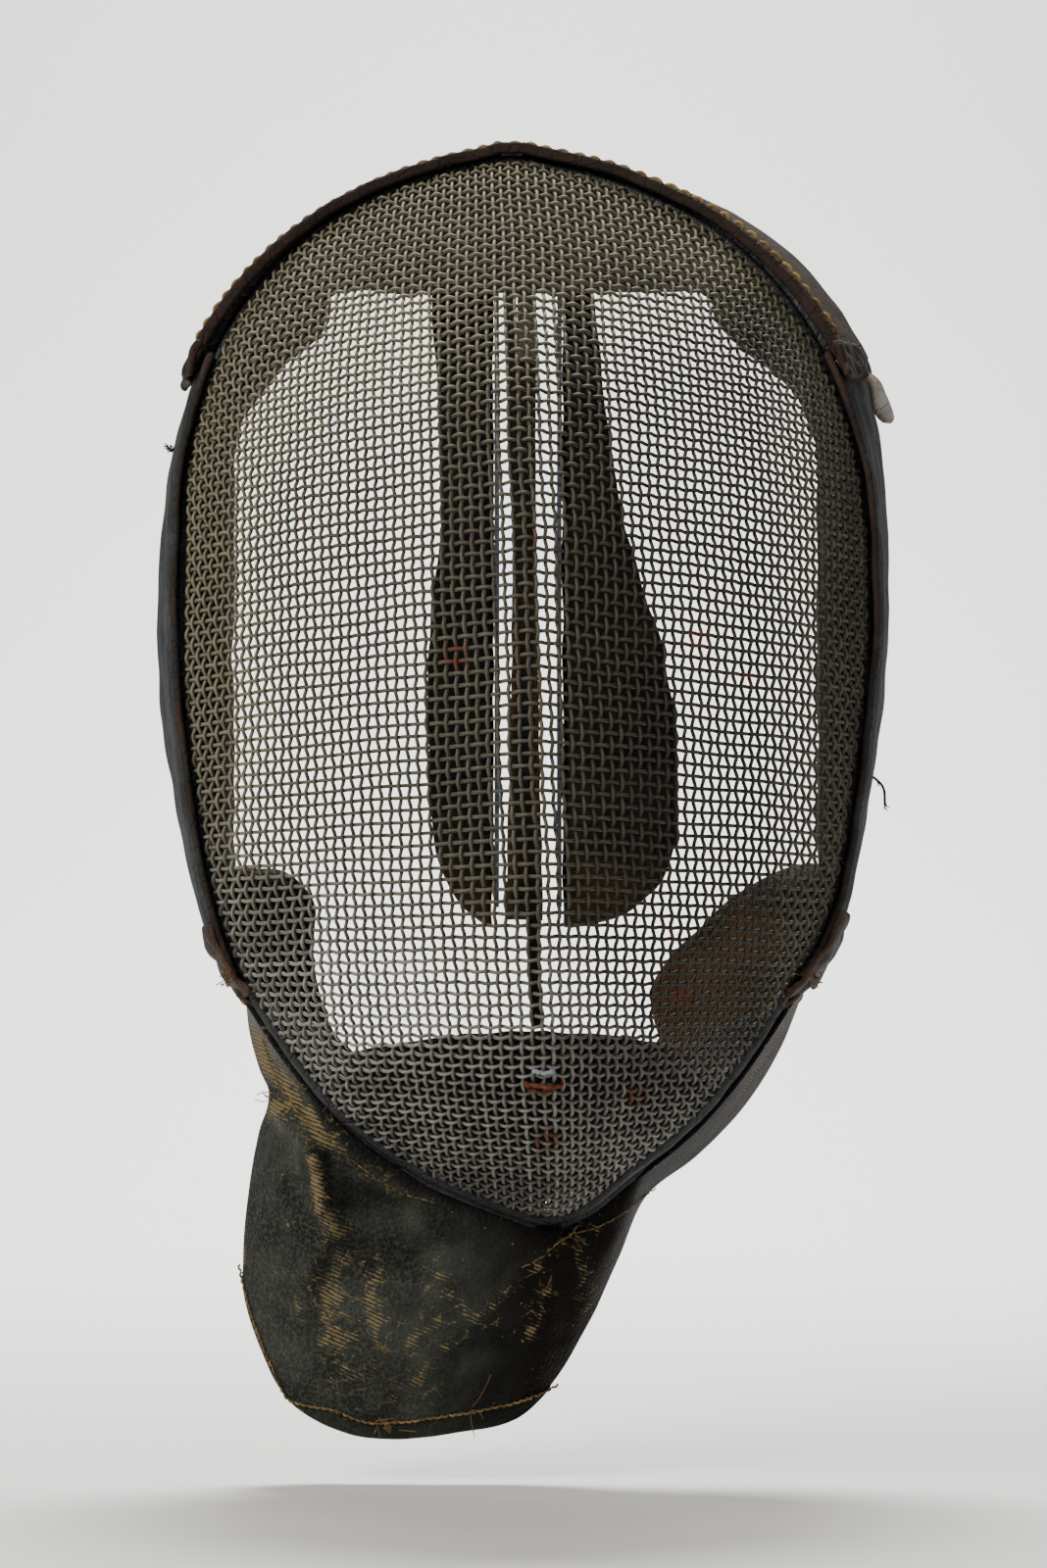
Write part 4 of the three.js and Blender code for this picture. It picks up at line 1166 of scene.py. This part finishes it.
# The steel's blue is its bluing; its light blue-white streaks are painted highlights, standing for the springs'
# shine.
highlight_streaks = blued_steel.speckle(0.001, 4.0, 0.6, at=blued_steel.stretched(1, 1, 0.06))
stains = blued_steel.speckle(0.01, 5.0, 0.7).rise(0.52, 0.7)
steel = blued_steel.mix(colour("#5a6b81"), colour("#95a6ba"), highlight_streaks)
coated("tongue_spring", blued_steel.done(
    blued_steel.mix(steel, colour("#45372d"), stains * 0.6), 0.3 + stains * 0.4, 0.8 - stains * 0.4,
    highlight_streaks, 0.00008,
))


def lower_wear(hide):
    """The pad's lower end is rubbed to brown."""
    _, _, z = hide.parts(hide.place())
    return (z + (hide.speckle(0.012, 5.0) - 0.5) * 0.05).rise(-0.155, -0.178) * 0.8


tongue_leather = leather("tongue_leather", "#181612", "#2d2a20", "#4a3824",
                         worn_edges(0.001, 0.4, lower_wear), grain=0.0013, scuffs=0.8, rough=0.65)
for (side, name), table, root in zip(SIDES, (PAD_LEFT, PAD_RIGHT), (SPRING_LEFT, SPRING_RIGHT)):
    pad_cut = Cut(TONGUE_LENGTH, PAD_WIDTH, (110, 26), 0.0012)
    found = along_outline(table, table * [TONGUE_LENGTH, TONGUE_REACH], pad_cut.u)
    near = abs(root) + SEAT_GAP + (SPRING_THICKNESS if side > 0 else 0)
    down, v = np.broadcast_arrays(found[:, :1], pad_cut.v[None, :])
    far = np.maximum(found[:, 1:] * TONGUE_REACH, near + 0.001)
    crown_of_pad = 1 - TONGUE_PAD_THINNING * np.abs(2 * v - 1) ** 3
    middle = np.stack([side * (near + (far - near) * v), tongue_plane(down) + SPRING_WIDTH / 2,
                       tongue_height(down)], -1)
    pad = skin(f"tongue_leather_{name}", pad_cut, middle, TONGUE_PAD_THICKNESS * crown_of_pad,
               (0.012, 0.0007), 30.0 + side, tongue_leather, "black_leather")
    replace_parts(pad, f"tongue_pad_{name}")

strip_cut = Cut(TONGUE_LENGTH, STRIP_WIDTH, (100, 10), 0.0008)
found = along_outline(STRIP, STRIP[:, [1, 0]] * [TONGUE_REACH, TONGUE_LENGTH], strip_cut.u)
down, v = np.broadcast_arrays(found[:, :1], strip_cut.v[None, :])
x = (found[:, 1:2] + (found[:, 2:] - found[:, 1:2]) * v) * TONGUE_REACH
middle = np.stack([x, tongue_plane(down) + STRIP_THICKNESS / 2, tongue_height(down)], -1)
strip = skin("tongue_middle", strip_cut, middle, STRIP_THICKNESS, (0.008, 0.0004), 41.0, flap_leather,
             "brown_leather")
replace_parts(strip, "tongue_strip")

# A scrap of greenish tape over the yoke, where the middle strip is riveted to it. It is coarse cotton, wound
# round both.
TAPE_LENGTH, TAPE_WIDTH, TAPE_THICKNESS = 0.02, 0.0052, 0.0008
TAPE_LEFT, TAPE_ACROSS = -0.0014, 0.0050
TAPE_TOP, TAPE_DOWN = 0.0015, 0.0195
TAPE_LIFT = 0.0006
tape_cut = Cut(TAPE_LENGTH, TAPE_WIDTH, (30, 12), 0.0006)
down, over = tape_cut.over()
tape_middle = np.stack([TAPE_LEFT + TAPE_ACROSS * over, tongue_plane(down * 0.05) - TAPE_LIFT,
                        TAPE_TOP - TAPE_DOWN * down], -1)
tape_cloth = padding("tape_cloth", "#5d5a3c", "#8a815c", "#3a3524")
skin("yoke_tape", tape_cut, tape_middle, TAPE_THICKNESS, (0.004, 0.0003), 90.0, tape_cloth, "padding_cloth")

# The strap tab: a short end of pale leather that comes out beside the crown band on the right. It is cut to
# a blunt leaf, and its root is caught under the band's end.


def amber_stain(hide):
    """The upper half is stained amber."""
    _, _, z = hide.parts(hide.place())
    return (z + (hide.speckle(0.006, 4.0) - 0.5) * 0.006).rise(-0.0275, -0.0235) * 0.8


pale_leather = leather("pale_leather", "#9f978e", "#cbc7c1", "#8a6238", worn_edges(0.0008, 0.5, amber_stain),
                       grain=0.0014, scuffs=0.4, rough=0.6)
# From its top down: height, and how far from the middle its two sides lie, seen from the front.
TAB_OUTLINE = np.array([
    (-0.0195, 0.0915, 0.0945), (-0.0222, 0.0950, 0.0980), (-0.0246, 0.0978, 0.1015), (-0.0268, 0.0998, 0.1036),
    (-0.0304, 0.1008, 0.1052), (-0.0334, 0.1013, 0.1066), (-0.0358, 0.1024, 0.1075), (-0.0374, 0.1040, 0.1077),
    (-0.0382, 0.1054, 0.1070),
])
# Where on the wire's edge it starts, how far behind it, and how far it turns back for each bit across.
TAB_PLACE = 0.217
TAB_BACK = 0.0195
TAB_TURN = 0.9
TAB_THICKNESS = 0.002
TAB_LENGTH = 0.019
tab_cut = Cut(0.022, 0.007, (30, 10), 0.001)
tab_cut.length = TAB_LENGTH
found = along_outline(TAB_OUTLINE, TAB_OUTLINE[:, [0, 2]], tab_cut.u)
across = found[:, 1:2] + (found[:, 2:] - found[:, 1:2]) * tab_cut.v[None, :]
tab_depth = edge_point(1, along_at_drop(TAB_PLACE), 0.0, TAB_BACK)[1]
tab_middle = np.stack([across, tab_depth + (across - found[:, 1:2]) * TAB_TURN,
                       np.broadcast_to(found[:, :1], across.shape)], -1)
tab = skin("strap_end", tab_cut, tab_middle, TAB_THICKNESS, (0.006, 0.0004), 95.0, pale_leather, "pale_leather")
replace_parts(tab, "strap_tab")

# The bib: a skirt of black oilcloth, sewn round the binding under the chin and hung to one side. Its black
# coat has cracked off along the folds, where the ribbed tan base cloth shows, and its hem is turned and sewn.
BIB_THICKNESS = 0.0016
BIB_LENGTH = 0.065
BIB_HALF_WIDTH = 0.083
BIB_DEPTH = 0.042
BIB_GAP = 0.001
BIB_TURN_START = 0.93
BIB_TURN_END = 0.985
# From the left end round to the right: root (a drop of the wire's edge, negative on the left), the free
# edge's x and z, how far back it lies, and how far the cloth stands forward halfway down.
BIB_SECTIONS = np.array([
    (-0.79, -0.97, -0.965, 0.86, 0), (-0.83, -0.955, -0.8, 0.84, 0), (-0.865, -0.92, -0.64, 0.78, 0),
    (-0.885, -0.88, -0.52, 0.66, 0.02), (-0.9, -0.915, -0.36, 0.6, 0.12), (-0.913, -0.948, -0.12, 0.55, 0.2),
    (-0.926, -0.967, 0.16, 0.5, 0.22), (-0.938, -0.96, 0.36, 0.46, 0.2), (-0.95, -0.9, 0.6, 0.42, 0.16),
    (-0.961, -0.8, 0.82, 0.38, 0.16), (-0.971, -0.65, 0.935, 0.35, 0.2), (-0.98, -0.48, 0.975, 0.33, 0.22),
    (-0.99, -0.25, 0.95, 0.32, 0.2), (0.996, -0.03, 0.89, 0.33, 0.14), (0.986, 0.08, 0.76, 0.36, 0.12),
    (0.972, 0.2, 0.52, 0.42, 0.12), (0.958, 0.32, 0.2, 0.5, 0.1), (0.944, 0.42, -0.08, 0.58, 0.02),
    (0.915, 0.6, -0.26, 0.68, 0), (0.88, 0.77, -0.48, 0.76, 0), (0.84, 0.89, -0.72, 0.84, 0),
    (0.79, 0.975, -0.98, 0.86, 0),
])
# Folds seen from the front: x and z of both ends, width and height in metres, negative for a hollow.
BIB_FOLDS = [
    (-0.0730, -0.2339, -0.0586, -0.2505, 0.0026, 0.0036), (-0.0586, -0.2505, -0.0563, -0.2642, 0.0026, 0.0042),
    (-0.0563, -0.2642, -0.0518, -0.2715, 0.0026, 0.0026), (-0.0500, -0.2600, -0.0350, -0.2640, 0.0042, -0.0040),
    (-0.0640, -0.2470, -0.0640, -0.2640, 0.0040, -0.0024), (0.0135, -0.2724, -0.0011, -0.2841, 0.0022, 0.0013),
    (-0.0011, -0.2841, -0.0124, -0.2953, 0.0026, 0.0012), (-0.0124, -0.2953, -0.0292, -0.3107, 0.0034, 0.0009),
    (-0.0546, -0.2701, -0.0602, -0.2813, 0.0026, 0.0018), (-0.0602, -0.2813, -0.0630, -0.2953, 0.0030, 0.0014),
    (0.0115, -0.2757, 0.0186, -0.2925, 0.0040, 0.0020), (-0.0380, -0.2820, -0.0200, -0.2760, 0.0060, -0.0016),
    (-0.0300, -0.2960, -0.0120, -0.3040, 0.0060, -0.0014), (0.0240, -0.2700, 0.0120, -0.3000, 0.0050, -0.0016),
]
# Where the black coat is rubbed off down to the tan cloth: x and z of both ends, width, and how much of it.
BIB_WORN = [
    (-0.0770, -0.2168, -0.0662, -0.2309, 0.0050, 0.85), (-0.0662, -0.2309, -0.0560, -0.2450, 0.0045, 0.75),
    (-0.0560, -0.2450, -0.0350, -0.2600, 0.0020, 0.45), (-0.0745, -0.2336, -0.0690, -0.2370, 0.0035, 0.80),
    (-0.0590, -0.2505, -0.0567, -0.2642, 0.0016, 0.85), (-0.0567, -0.2642, -0.0518, -0.2715, 0.0026, 0.62),
    (-0.0518, -0.2715, -0.0535, -0.2830, 0.0040, 0.50), (-0.0560, -0.2860, -0.0535, -0.3040, 0.0045, 0.55),
    (-0.0546, -0.2701, -0.0630, -0.2953, 0.0022, 0.45), (-0.0420, -0.2810, -0.0430, -0.3010, 0.0045, 0.50),
    (-0.0265, -0.2816, -0.0181, -0.2929, 0.0030, 0.34), (-0.0322, -0.3013, -0.0181, -0.2929, 0.0034, 0.38),
    (0.0135, -0.2724, -0.0124, -0.2953, 0.0013, 0.48), (-0.0124, -0.2953, -0.0292, -0.3107, 0.0016, 0.35),
    (0.0073, -0.2845, 0.0017, -0.2985, 0.0030, 0.36), (-0.0096, -0.2971, 0.0017, -0.2985, 0.0026, 0.34),
    (0.0150, -0.2730, 0.0190, -0.2930, 0.0022, 0.34), (0.0100, -0.2690, 0.0190, -0.2700, 0.0030, 0.42),
    (-0.0805, -0.2700, -0.0800, -0.2805, 0.0010, 0.90), (-0.0795, -0.2450, -0.0805, -0.2700, 0.0009, 0.60),
    (0.0600, -0.2350, 0.0830, -0.2000, 0.0016, 0.45), (-0.0500, -0.3120, -0.0300, -0.3150, 0.0060, 0.32),
]


def near_lines(points, table):
    """For each line of a table, 1 on it and falling to 0 beyond its width, seen from the front."""
    for x0, z0, x1, z1, width, amount in table:
        start, run = np.array([x0, z0]), np.array([x1 - x0, z1 - z0])
        offset = points[..., [0, 2]] - start
        share = np.clip((offset @ run) / (run @ run), 0, 1)
        far = np.linalg.norm(offset - share[..., None] * run, axis=-1)
        yield np.exp(-((far / width) ** 2)), amount


def bib_root(root):
    drop = np.abs(root)
    turn = math.pi / 2 * smoothstep(drop, BIB_TURN_START, BIB_TURN_END)
    reach = BINDING_RADIUS + BIB_GAP + BIB_THICKNESS * np.sin(turn)
    return edge_point(np.sign(root), along_at_drop(drop), BINDING_OUT + reach * np.cos(turn),
                      BINDING_BACK + reach * np.sin(turn))


bib_station = run_through(
    spacing(BIB_SECTIONS[:, [1, 2]] * [BIB_HALF_WIDTH, BIB_LENGTH]),
    np.column_stack([BIB_SECTIONS, np.arange(len(BIB_SECTIONS))]),
)
root_run = run_through(np.arange(len(BIB_SECTIONS)), bib_root(BIB_SECTIONS[:, 0]))
chin_point = edge_point(1, 1.0, 0.0, 0.0)


def bib_surface(u, v):
    row = bib_station(u)
    root = root_run(row[..., 5])
    edge = np.stack([row[..., 1] * BIB_HALF_WIDTH, chin_point[1] + row[..., 3] * BIB_DEPTH,
                     chin_point[2] - row[..., 2] * BIB_LENGTH], -1)
    point = root + (edge - root) * v[..., None]
    point[..., 1] -= row[..., 4] * BIB_DEPTH * np.sin(math.pi * v)
    return point


BIB_ROUND = 0.29
BIB_DROP = 0.05
HEM_SWELL = 0.00045
# How much stronger than their table's heights the folds stand.
FOLD_STRENGTH = 1.4
bib_cut = Cut(BIB_ROUND, BIB_DROP, (270, 78), 0.0008)
u, v = bib_cut.over()
bib_middle = bib_surface(u, v)
hold = smoothstep(v, 0.0, 0.2)
folded = sum(FOLD_STRENGTH * height * near for near, height in near_lines(bib_middle, BIB_FOLDS))
flat_points = bib_middle.reshape(-1, 3)
soft = rippled(flat_points, 0.018, 0.0016, 50.0) + rippled(flat_points, 0.006, 0.0006, 53.0) - 2 * flat_points
bib_middle[..., 1] += hold * (soft[:, 1].reshape(u.shape) - folded)
coat_worn = np.max([near * amount for near, amount in near_lines(bib_middle, BIB_WORN)], axis=0)

# The hem is turned back and sewn from the left edge, round the bottom, and a little way up the right.
HEM_LINE = np.array([
    (-0.0808, -0.2805), (-0.0788, -0.2890), (-0.0765, -0.2972), (-0.0711, -0.3104), (-0.0668, -0.3192),
    (-0.0631, -0.3203), (-0.0524, -0.3222), (-0.0464, -0.3248), (-0.0357, -0.3251), (-0.0224, -0.3231),
    (-0.0059, -0.3203), (0.0025, -0.3177), (0.0091, -0.3147),
])
HEM_END_X = 0.012


def on_bib(line, count):
    """Points spread along a line seen from the front, laid on the bib, and which way is out there."""
    line = np.asarray(line, float)
    at = run_through(spacing(line), line)(np.linspace(0, 1, count))
    face = bib_middle.reshape(-1, 3)
    facing = grid_normals(bib_middle).reshape(-1, 3)
    facing = facing * np.where(facing[:, 1:2] > 0, -1, 1)
    nearest = [np.argmin(np.hypot(*(face[:, [0, 2]] - place).T)) for place in at]
    depths = face[nearest, 1]
    for _ in range(3):
        depths = np.convolve(np.pad(depths, 1, mode="edge"), [0.25, 0.5, 0.25], mode="valid")
    return np.stack([at[:, 0], depths, at[:, 1]], -1), facing[nearest]


def below_hem(points):
    """1 on the turned hem, outside its line of stitches, and 0 within it."""
    # The line's lower part is read by x, and its part up the left side by z.
    height = np.interp(points[..., 0], *HEM_LINE[3:].T)
    side = np.interp(-points[..., 2], -HEM_LINE[:5, 1], HEM_LINE[:5, 0])
    under = smoothstep(height - points[..., 2], -0.0003, 0.0006) * (points[..., 0] < HEM_END_X)
    beside = smoothstep(side - points[..., 0], -0.0003, 0.0006) * (points[..., 2] < HEM_LINE[0, 1])
    return np.maximum(under, beside)


hem = below_hem(bib_middle)


def bib_finish():
    """Black oilcloth, pebbled, with the tan ribbed cloth under it showing where it is rubbed. Painted
    highlights lighten the pebbles' tops on the left, the right part is browner and darkened by painted shade,
    and a painted shadow darkens it beside the roll.
    """
    cloth = Finish("oilcloth")
    x, y, z = cloth.parts(cloth.place())
    patches = cloth.speckle(0.02, 5.0, 0.6)
    pebbles = cloth.cells(0.001)
    fine = cloth.speckle(0.0009, 3.0, 0.6)
    scuffs = cloth.speckle(0.0065, 9.0, 0.74, 0.4)
    ribs = ((z * 0.92 + x * 0.38 + (patches - 0.5) * 0.003) * (2 * math.pi / 0.0011)).math("SINE") * 0.5 + 0.5
    edges = cloth.marked("edge").rise(0.0009, 0.0) * 0.35
    # Painted shadow: shaded is 1 beside the roll, where the bib is darkened and kept from looking rubbed.
    shaded = cloth.marked("root")
    worn = cloth.marked("worn")
    wear = worn * 0.85 + edges + patches.rise(0.45, 0.8) * 0.12 - shaded * 0.5
    bare = (wear + (scuffs - 0.5) * 2.6 + (ribs - 0.5) * 0.25).rise(0.4, 0.66)
    cracks = cloth.cracks(0.0055, 0.07, 0.004, 0.005)
    cracks = cracks * (worn + patches * 0.8).rise(0.4, 0.62) * cloth.speckle(0.003, 3.0).rise(0.44, 0.6)
    bare = (bare + cracks * 0.8).held() * (fine * 0.8 + 0.5).held()
    tan = cloth.mix(colour("#433823"), colour("#9c8b66"), (ribs * 0.45 + fine * 0.55).held())
    black = cloth.mix(colour("#1a1b19"), colour("#42443e"), patches.rise(0.3, 0.75))
    # Browner on the right, and darkened there as painted shade.
    black = cloth.mix(black, colour("#14100c"), (x + (patches - 0.5) * 0.04).rise(-0.018, 0.006))
    # Painted highlight: the pebbles' tops are lighter on the left, as a painted sheen.
    black = cloth.mix(black, colour("#50524a"), pebbles.rise(0.38, 0.8) * x.rise(0.0, -0.05) * 0.5)
    # The turned hem is darker, and beside the roll a painted shadow darkens the black.
    black = cloth.mix(black, colour("#0d0c0b"), (cloth.marked("hem") * 0.4 + shaded * 0.8).held())
    specks = cloth.speckle(0.0013, 2.0, 0.4).rise(0.73, 0.78) * 0.6
    tint = cloth.mix(cloth.mix(black, tan, bare), colour("#9a8a66"), specks)
    height = patches * 1.0 + pebbles * (1 - bare) * 0.6 + fine * 0.25 + ribs * bare * 0.45 - bare * 0.35
    return cloth.done(tint, 0.55 + bare * 0.4 + fine * 0.1, 0.0, height, 0.0005, 0.05)


bib = skin("bib_cloth", bib_cut, bib_middle, BIB_THICKNESS, (0.01, 0.0), 60.0, bib_finish(), "coated_cloth",
           HEM_SWELL * hem)
mark(bib, "worn", np.tile(coat_worn.ravel(), 2))
mark(bib, "hem", np.tile(hem.ravel(), 2))
# The root mark is a painted shadow beside the roll: 1 within 1.5 mm of the bib's upper edge, falling to 0 by 6
# mm.
from_root = np.linalg.norm(bib_middle - bib_middle[:, :1], axis=-1)
mark(bib, "root", np.tile(smoothstep(from_root, 0.006, 0.0015).ravel(), 2))
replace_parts(bib, "bib")

# The bib's stitches: the hem is sewn with a waxed thread, and a finer one runs beside the binding. Ends of both
# have come loose, and fibres stick out where the cloth is torn.
HEM_THREAD, SEAM_THREAD = 0.00034, 0.0002
SEAM_LEFT = np.array([
    (-0.0735, -0.2150), (-0.0705, -0.2265), (-0.0642, -0.2365), (-0.0550, -0.2450), (-0.0440, -0.2540),
    (-0.0345, -0.2595), (-0.0230, -0.2640),
])
SEAM_RIGHT = np.array([
    (-0.0011, -0.2825), (0.0060, -0.2780), (0.0135, -0.2728), (0.0230, -0.2685), (0.0323, -0.2620),
    (0.0390, -0.2580),
])
bib_stitches = Strands()
# Each row: its line, its thread's radius, its pitch, its stitches' length, and points to lay it by.
for line, radius, pitch, length, count in (
    (HEM_LINE, HEM_THREAD, 0.0021, 0.0019, 300),
    (SEAM_LEFT, SEAM_THREAD, 0.0024, 0.0019, 160),
    (SEAM_RIGHT, SEAM_THREAD, 0.0030, 0.0027, 100),
):
    places, facing = on_bib(line, count)
    laid_at = places + facing * (BIB_THICKNESS / 2 + radius + 0.0002)
    stitch_row(bib_stitches, laid_at, facing, pitch, length, radius, radius * 0.9)
# Where ends have come loose: x and z, which way they stick out, and how far.
for x, z, aim, length in (
    (-0.0420, -0.3243, (1, -0.2, -0.8), 0.006), (-0.0390, -0.3255, (1, -0.3, -0.3), 0.005),
    (-0.0152, -0.3215, (1, -0.3, 0.3), 0.007), (-0.0727, -0.2336, (-1, -0.4, 0.4), 0.003),
    (-0.0560, -0.2610, (0.4, -1, -0.2), 0.0025), (0.0135, -0.2728, (0.6, -1, 0.2), 0.003),
):
    places, facing = on_bib([(x, z), (x + 0.001, z)], 2)
    tuft(bib_stitches, places[0] + facing[0] * 0.001, aim, 7, length, 0.0006, 0.00013)
bib_stitches.piece("bib_stitches", waxed_thread, "brown_leather")

# A wire tie at the chin: soft iron wire, wound round four of the woven wires to mend a slack place. It is red
# with rust, with a brighter twist above it.
TIE_RADIUS = 0.0008
TIE_START, TIE_END, TIE_HEIGHT = 0.0004, 0.0105, -0.2277
tie_iron = Finish("tie_iron")
flakes = tie_iron.speckle(0.0015, 5.0, 0.7)
rusted = tie_iron.mix(colour("#4a2418"), colour("#84452c"), flakes.rise(0.35, 0.7))
tie_iron = tie_iron.done(
    tie_iron.mix(rusted, colour("#8f9aa2"), tie_iron.marked("tone").rise(0.6, 0.8)), 0.7, 0.2, flakes, 0.0003,
)


def laid(strands, start, end, height, bow, radius, tone):
    """Wire laid over the woven wires from x to x, with both ends turned in behind them."""
    along = np.linspace(0, 1, 40)
    x, z = start + (end - start) * along, height + bow * np.sin(2.3 * math.pi * along)
    level = along_at_drop(drop_of(z))
    across = across_at(level, x)
    outward = face_outward(level, across)
    turned_in = np.maximum(smoothstep(along, 0.12, 0.0), smoothstep(along, 0.88, 1.0))
    over = WIRE_RADIUS * 2 + radius - 0.0026 * turned_in + 0.0002 * np.sin(7 * math.pi * along)
    strands.add(face_point(level, across) + outward * over[:, None], outward, radius, 8, tone)


chin_tie = Strands()
laid(chin_tie, TIE_START, TIE_END, TIE_HEIGHT, 0.0003, TIE_RADIUS * 0.8, 0.2)
laid(chin_tie, TIE_START + 0.001, TIE_END - 0.0022, TIE_HEIGHT - 0.0014, 0.0004, TIE_RADIUS * 0.7, 0.4)
laid(chin_tie, 0.0028, 0.0076, -0.2240, 0.0002, TIE_RADIUS * 0.7, 1.0)
chin_tie.piece("chin_tie", tie_iron, "woven_wire")

# Loose black threads: a long one from the right band's back edge, and a tuft on the left. They are the ends
# of the bands' own sewing, pulled out.
black_thread = Finish("black_thread")
lint = black_thread.speckle(0.0008, 3.0)
black_thread = black_thread.done(
    black_thread.mix(colour("#0d0b0a"), colour("#1d1a17"), lint), 0.85, 0.0, lint, 0.0001,
)
LONG_THREAD_DROP, TUFT_DROP = 0.577, 0.272
LONG_THREAD_RADIUS = 0.0004
loose = Strands()
steps = np.linspace(0, 1, 24)[:, None]
long_place, tuft_place = along_at_drop(LONG_THREAD_DROP), along_at_drop(TUFT_DROP)
root = edge_point(1, long_place, band_out(1, long_place, BAND_DEPTH), BAND_DEPTH - 0.002)
tip = root + np.array([0.0062, -0.004, -0.0095])
line = root + (tip - root) * steps + np.array([0.0016, 0, 0.0002]) * np.sin(math.pi * 1.3 * steps)
loose.add(line, np.tile([0.2, -1.0, 0.1], (24, 1)), LONG_THREAD_RADIUS, 6, 0.3)
for at, count in ((line[-1], 9), (line[6], 5)):
    tuft(loose, at, (0.2, -0.3, -1), count, 0.0012, 0.0003, 0.00014)
left_at = edge_point(-1, tuft_place, band_out(-1, tuft_place, BAND_DEPTH) + BAND_THICKNESS,
                     BAND_DEPTH - 0.004)
tuft(loose, left_at, (-1, -0.3, 0.3), 16, 0.0022, 0.0005, 0.00018)
loose.piece("loose_threads", black_thread, "black_leather")

# The stage: a pale floor that sweeps up well behind the mask, soft light from the upper left, a weak fill,
# and a lamp of its own for the backdrop.
STAGE_REACH = 3.0
FLOOR = cad_box[0][2] - 0.012
SWEEP_START, SWEEP_RADIUS = 1.3, 1.0
stage_profile = [(-STAGE_REACH, 0.0), (SWEEP_START, 0.0)]
stage_profile += [
    (SWEEP_START + SWEEP_RADIUS * math.sin(a), SWEEP_RADIUS * (1 - math.cos(a)))
    for a in np.linspace(0.1, math.pi / 2, 16)
]
stage_profile += [(SWEEP_START + SWEEP_RADIUS, 3.0)]
stage_points = [(x, y, FLOOR + z) for y, z in stage_profile for x in (-STAGE_REACH, STAGE_REACH)]
stage_faces = [(2 * i, 2 * i + 1, 2 * i + 3, 2 * i + 2) for i in range(len(stage_profile) - 1)]
stage = mesh_object("pale_floor", stage_points, stage_faces)
paper = Finish("pale_paper")
stage.data.materials.append(paper.done(colour("#f4f3f1"), 0.9))


def lamp(name, place, aim, size, power, spread=math.pi, tint=(1, 1, 1)):
    light = bpy.data.lights.new(name, "AREA")
    light.shape, light.size, light.energy, light.spread, light.color = "DISK", size, power, spread, tint
    holder = bpy.data.objects.new(name, light)
    holder.location = place
    holder.rotation_euler = (Vector(aim) - Vector(place)).to_track_quat("-Z", "Y").to_euler()
    bpy.context.scene.collection.objects.link(holder)


MASK_MIDDLE = (0, -0.03, -0.14)
lamp("key_light", (-1.25, -1.3, 0.95), MASK_MIDDLE, 0.9, 56, tint=(1, 0.98, 0.94))
lamp("fill_light", (1.2, -1.2, 0.2), MASK_MIDDLE, 1.0, 7)
lamp("backdrop_light", (0.0, 0.8, 1.9), (0, 1.5, -0.3), 0.9, 110, math.radians(125))
world = bpy.data.worlds.new("studio")
world.use_nodes = True
world.node_tree.nodes["Background"].inputs["Color"].default_value = (1, 1, 1, 1)
world.node_tree.nodes["Background"].inputs["Strength"].default_value = 0.16
bpy.context.scene.world = world

# The camera: a long lens, level with the chin and looking up three degrees.
CAMERA_TILT = math.radians(3)
camera_data = bpy.data.cameras.new("camera")
camera_data.sensor_fit, camera_data.sensor_height, camera_data.lens = "VERTICAL", 24, 63.9
camera_data.clip_start, camera_data.clip_end = 0.05, 20
camera = bpy.data.objects.new("camera", camera_data)
camera.location = (0, -1.2134, -0.2064)
camera.rotation_euler = (math.pi / 2 + CAMERA_TILT, 0, 0)
bpy.context.scene.collection.objects.link(camera)
bpy.context.scene.camera = camera
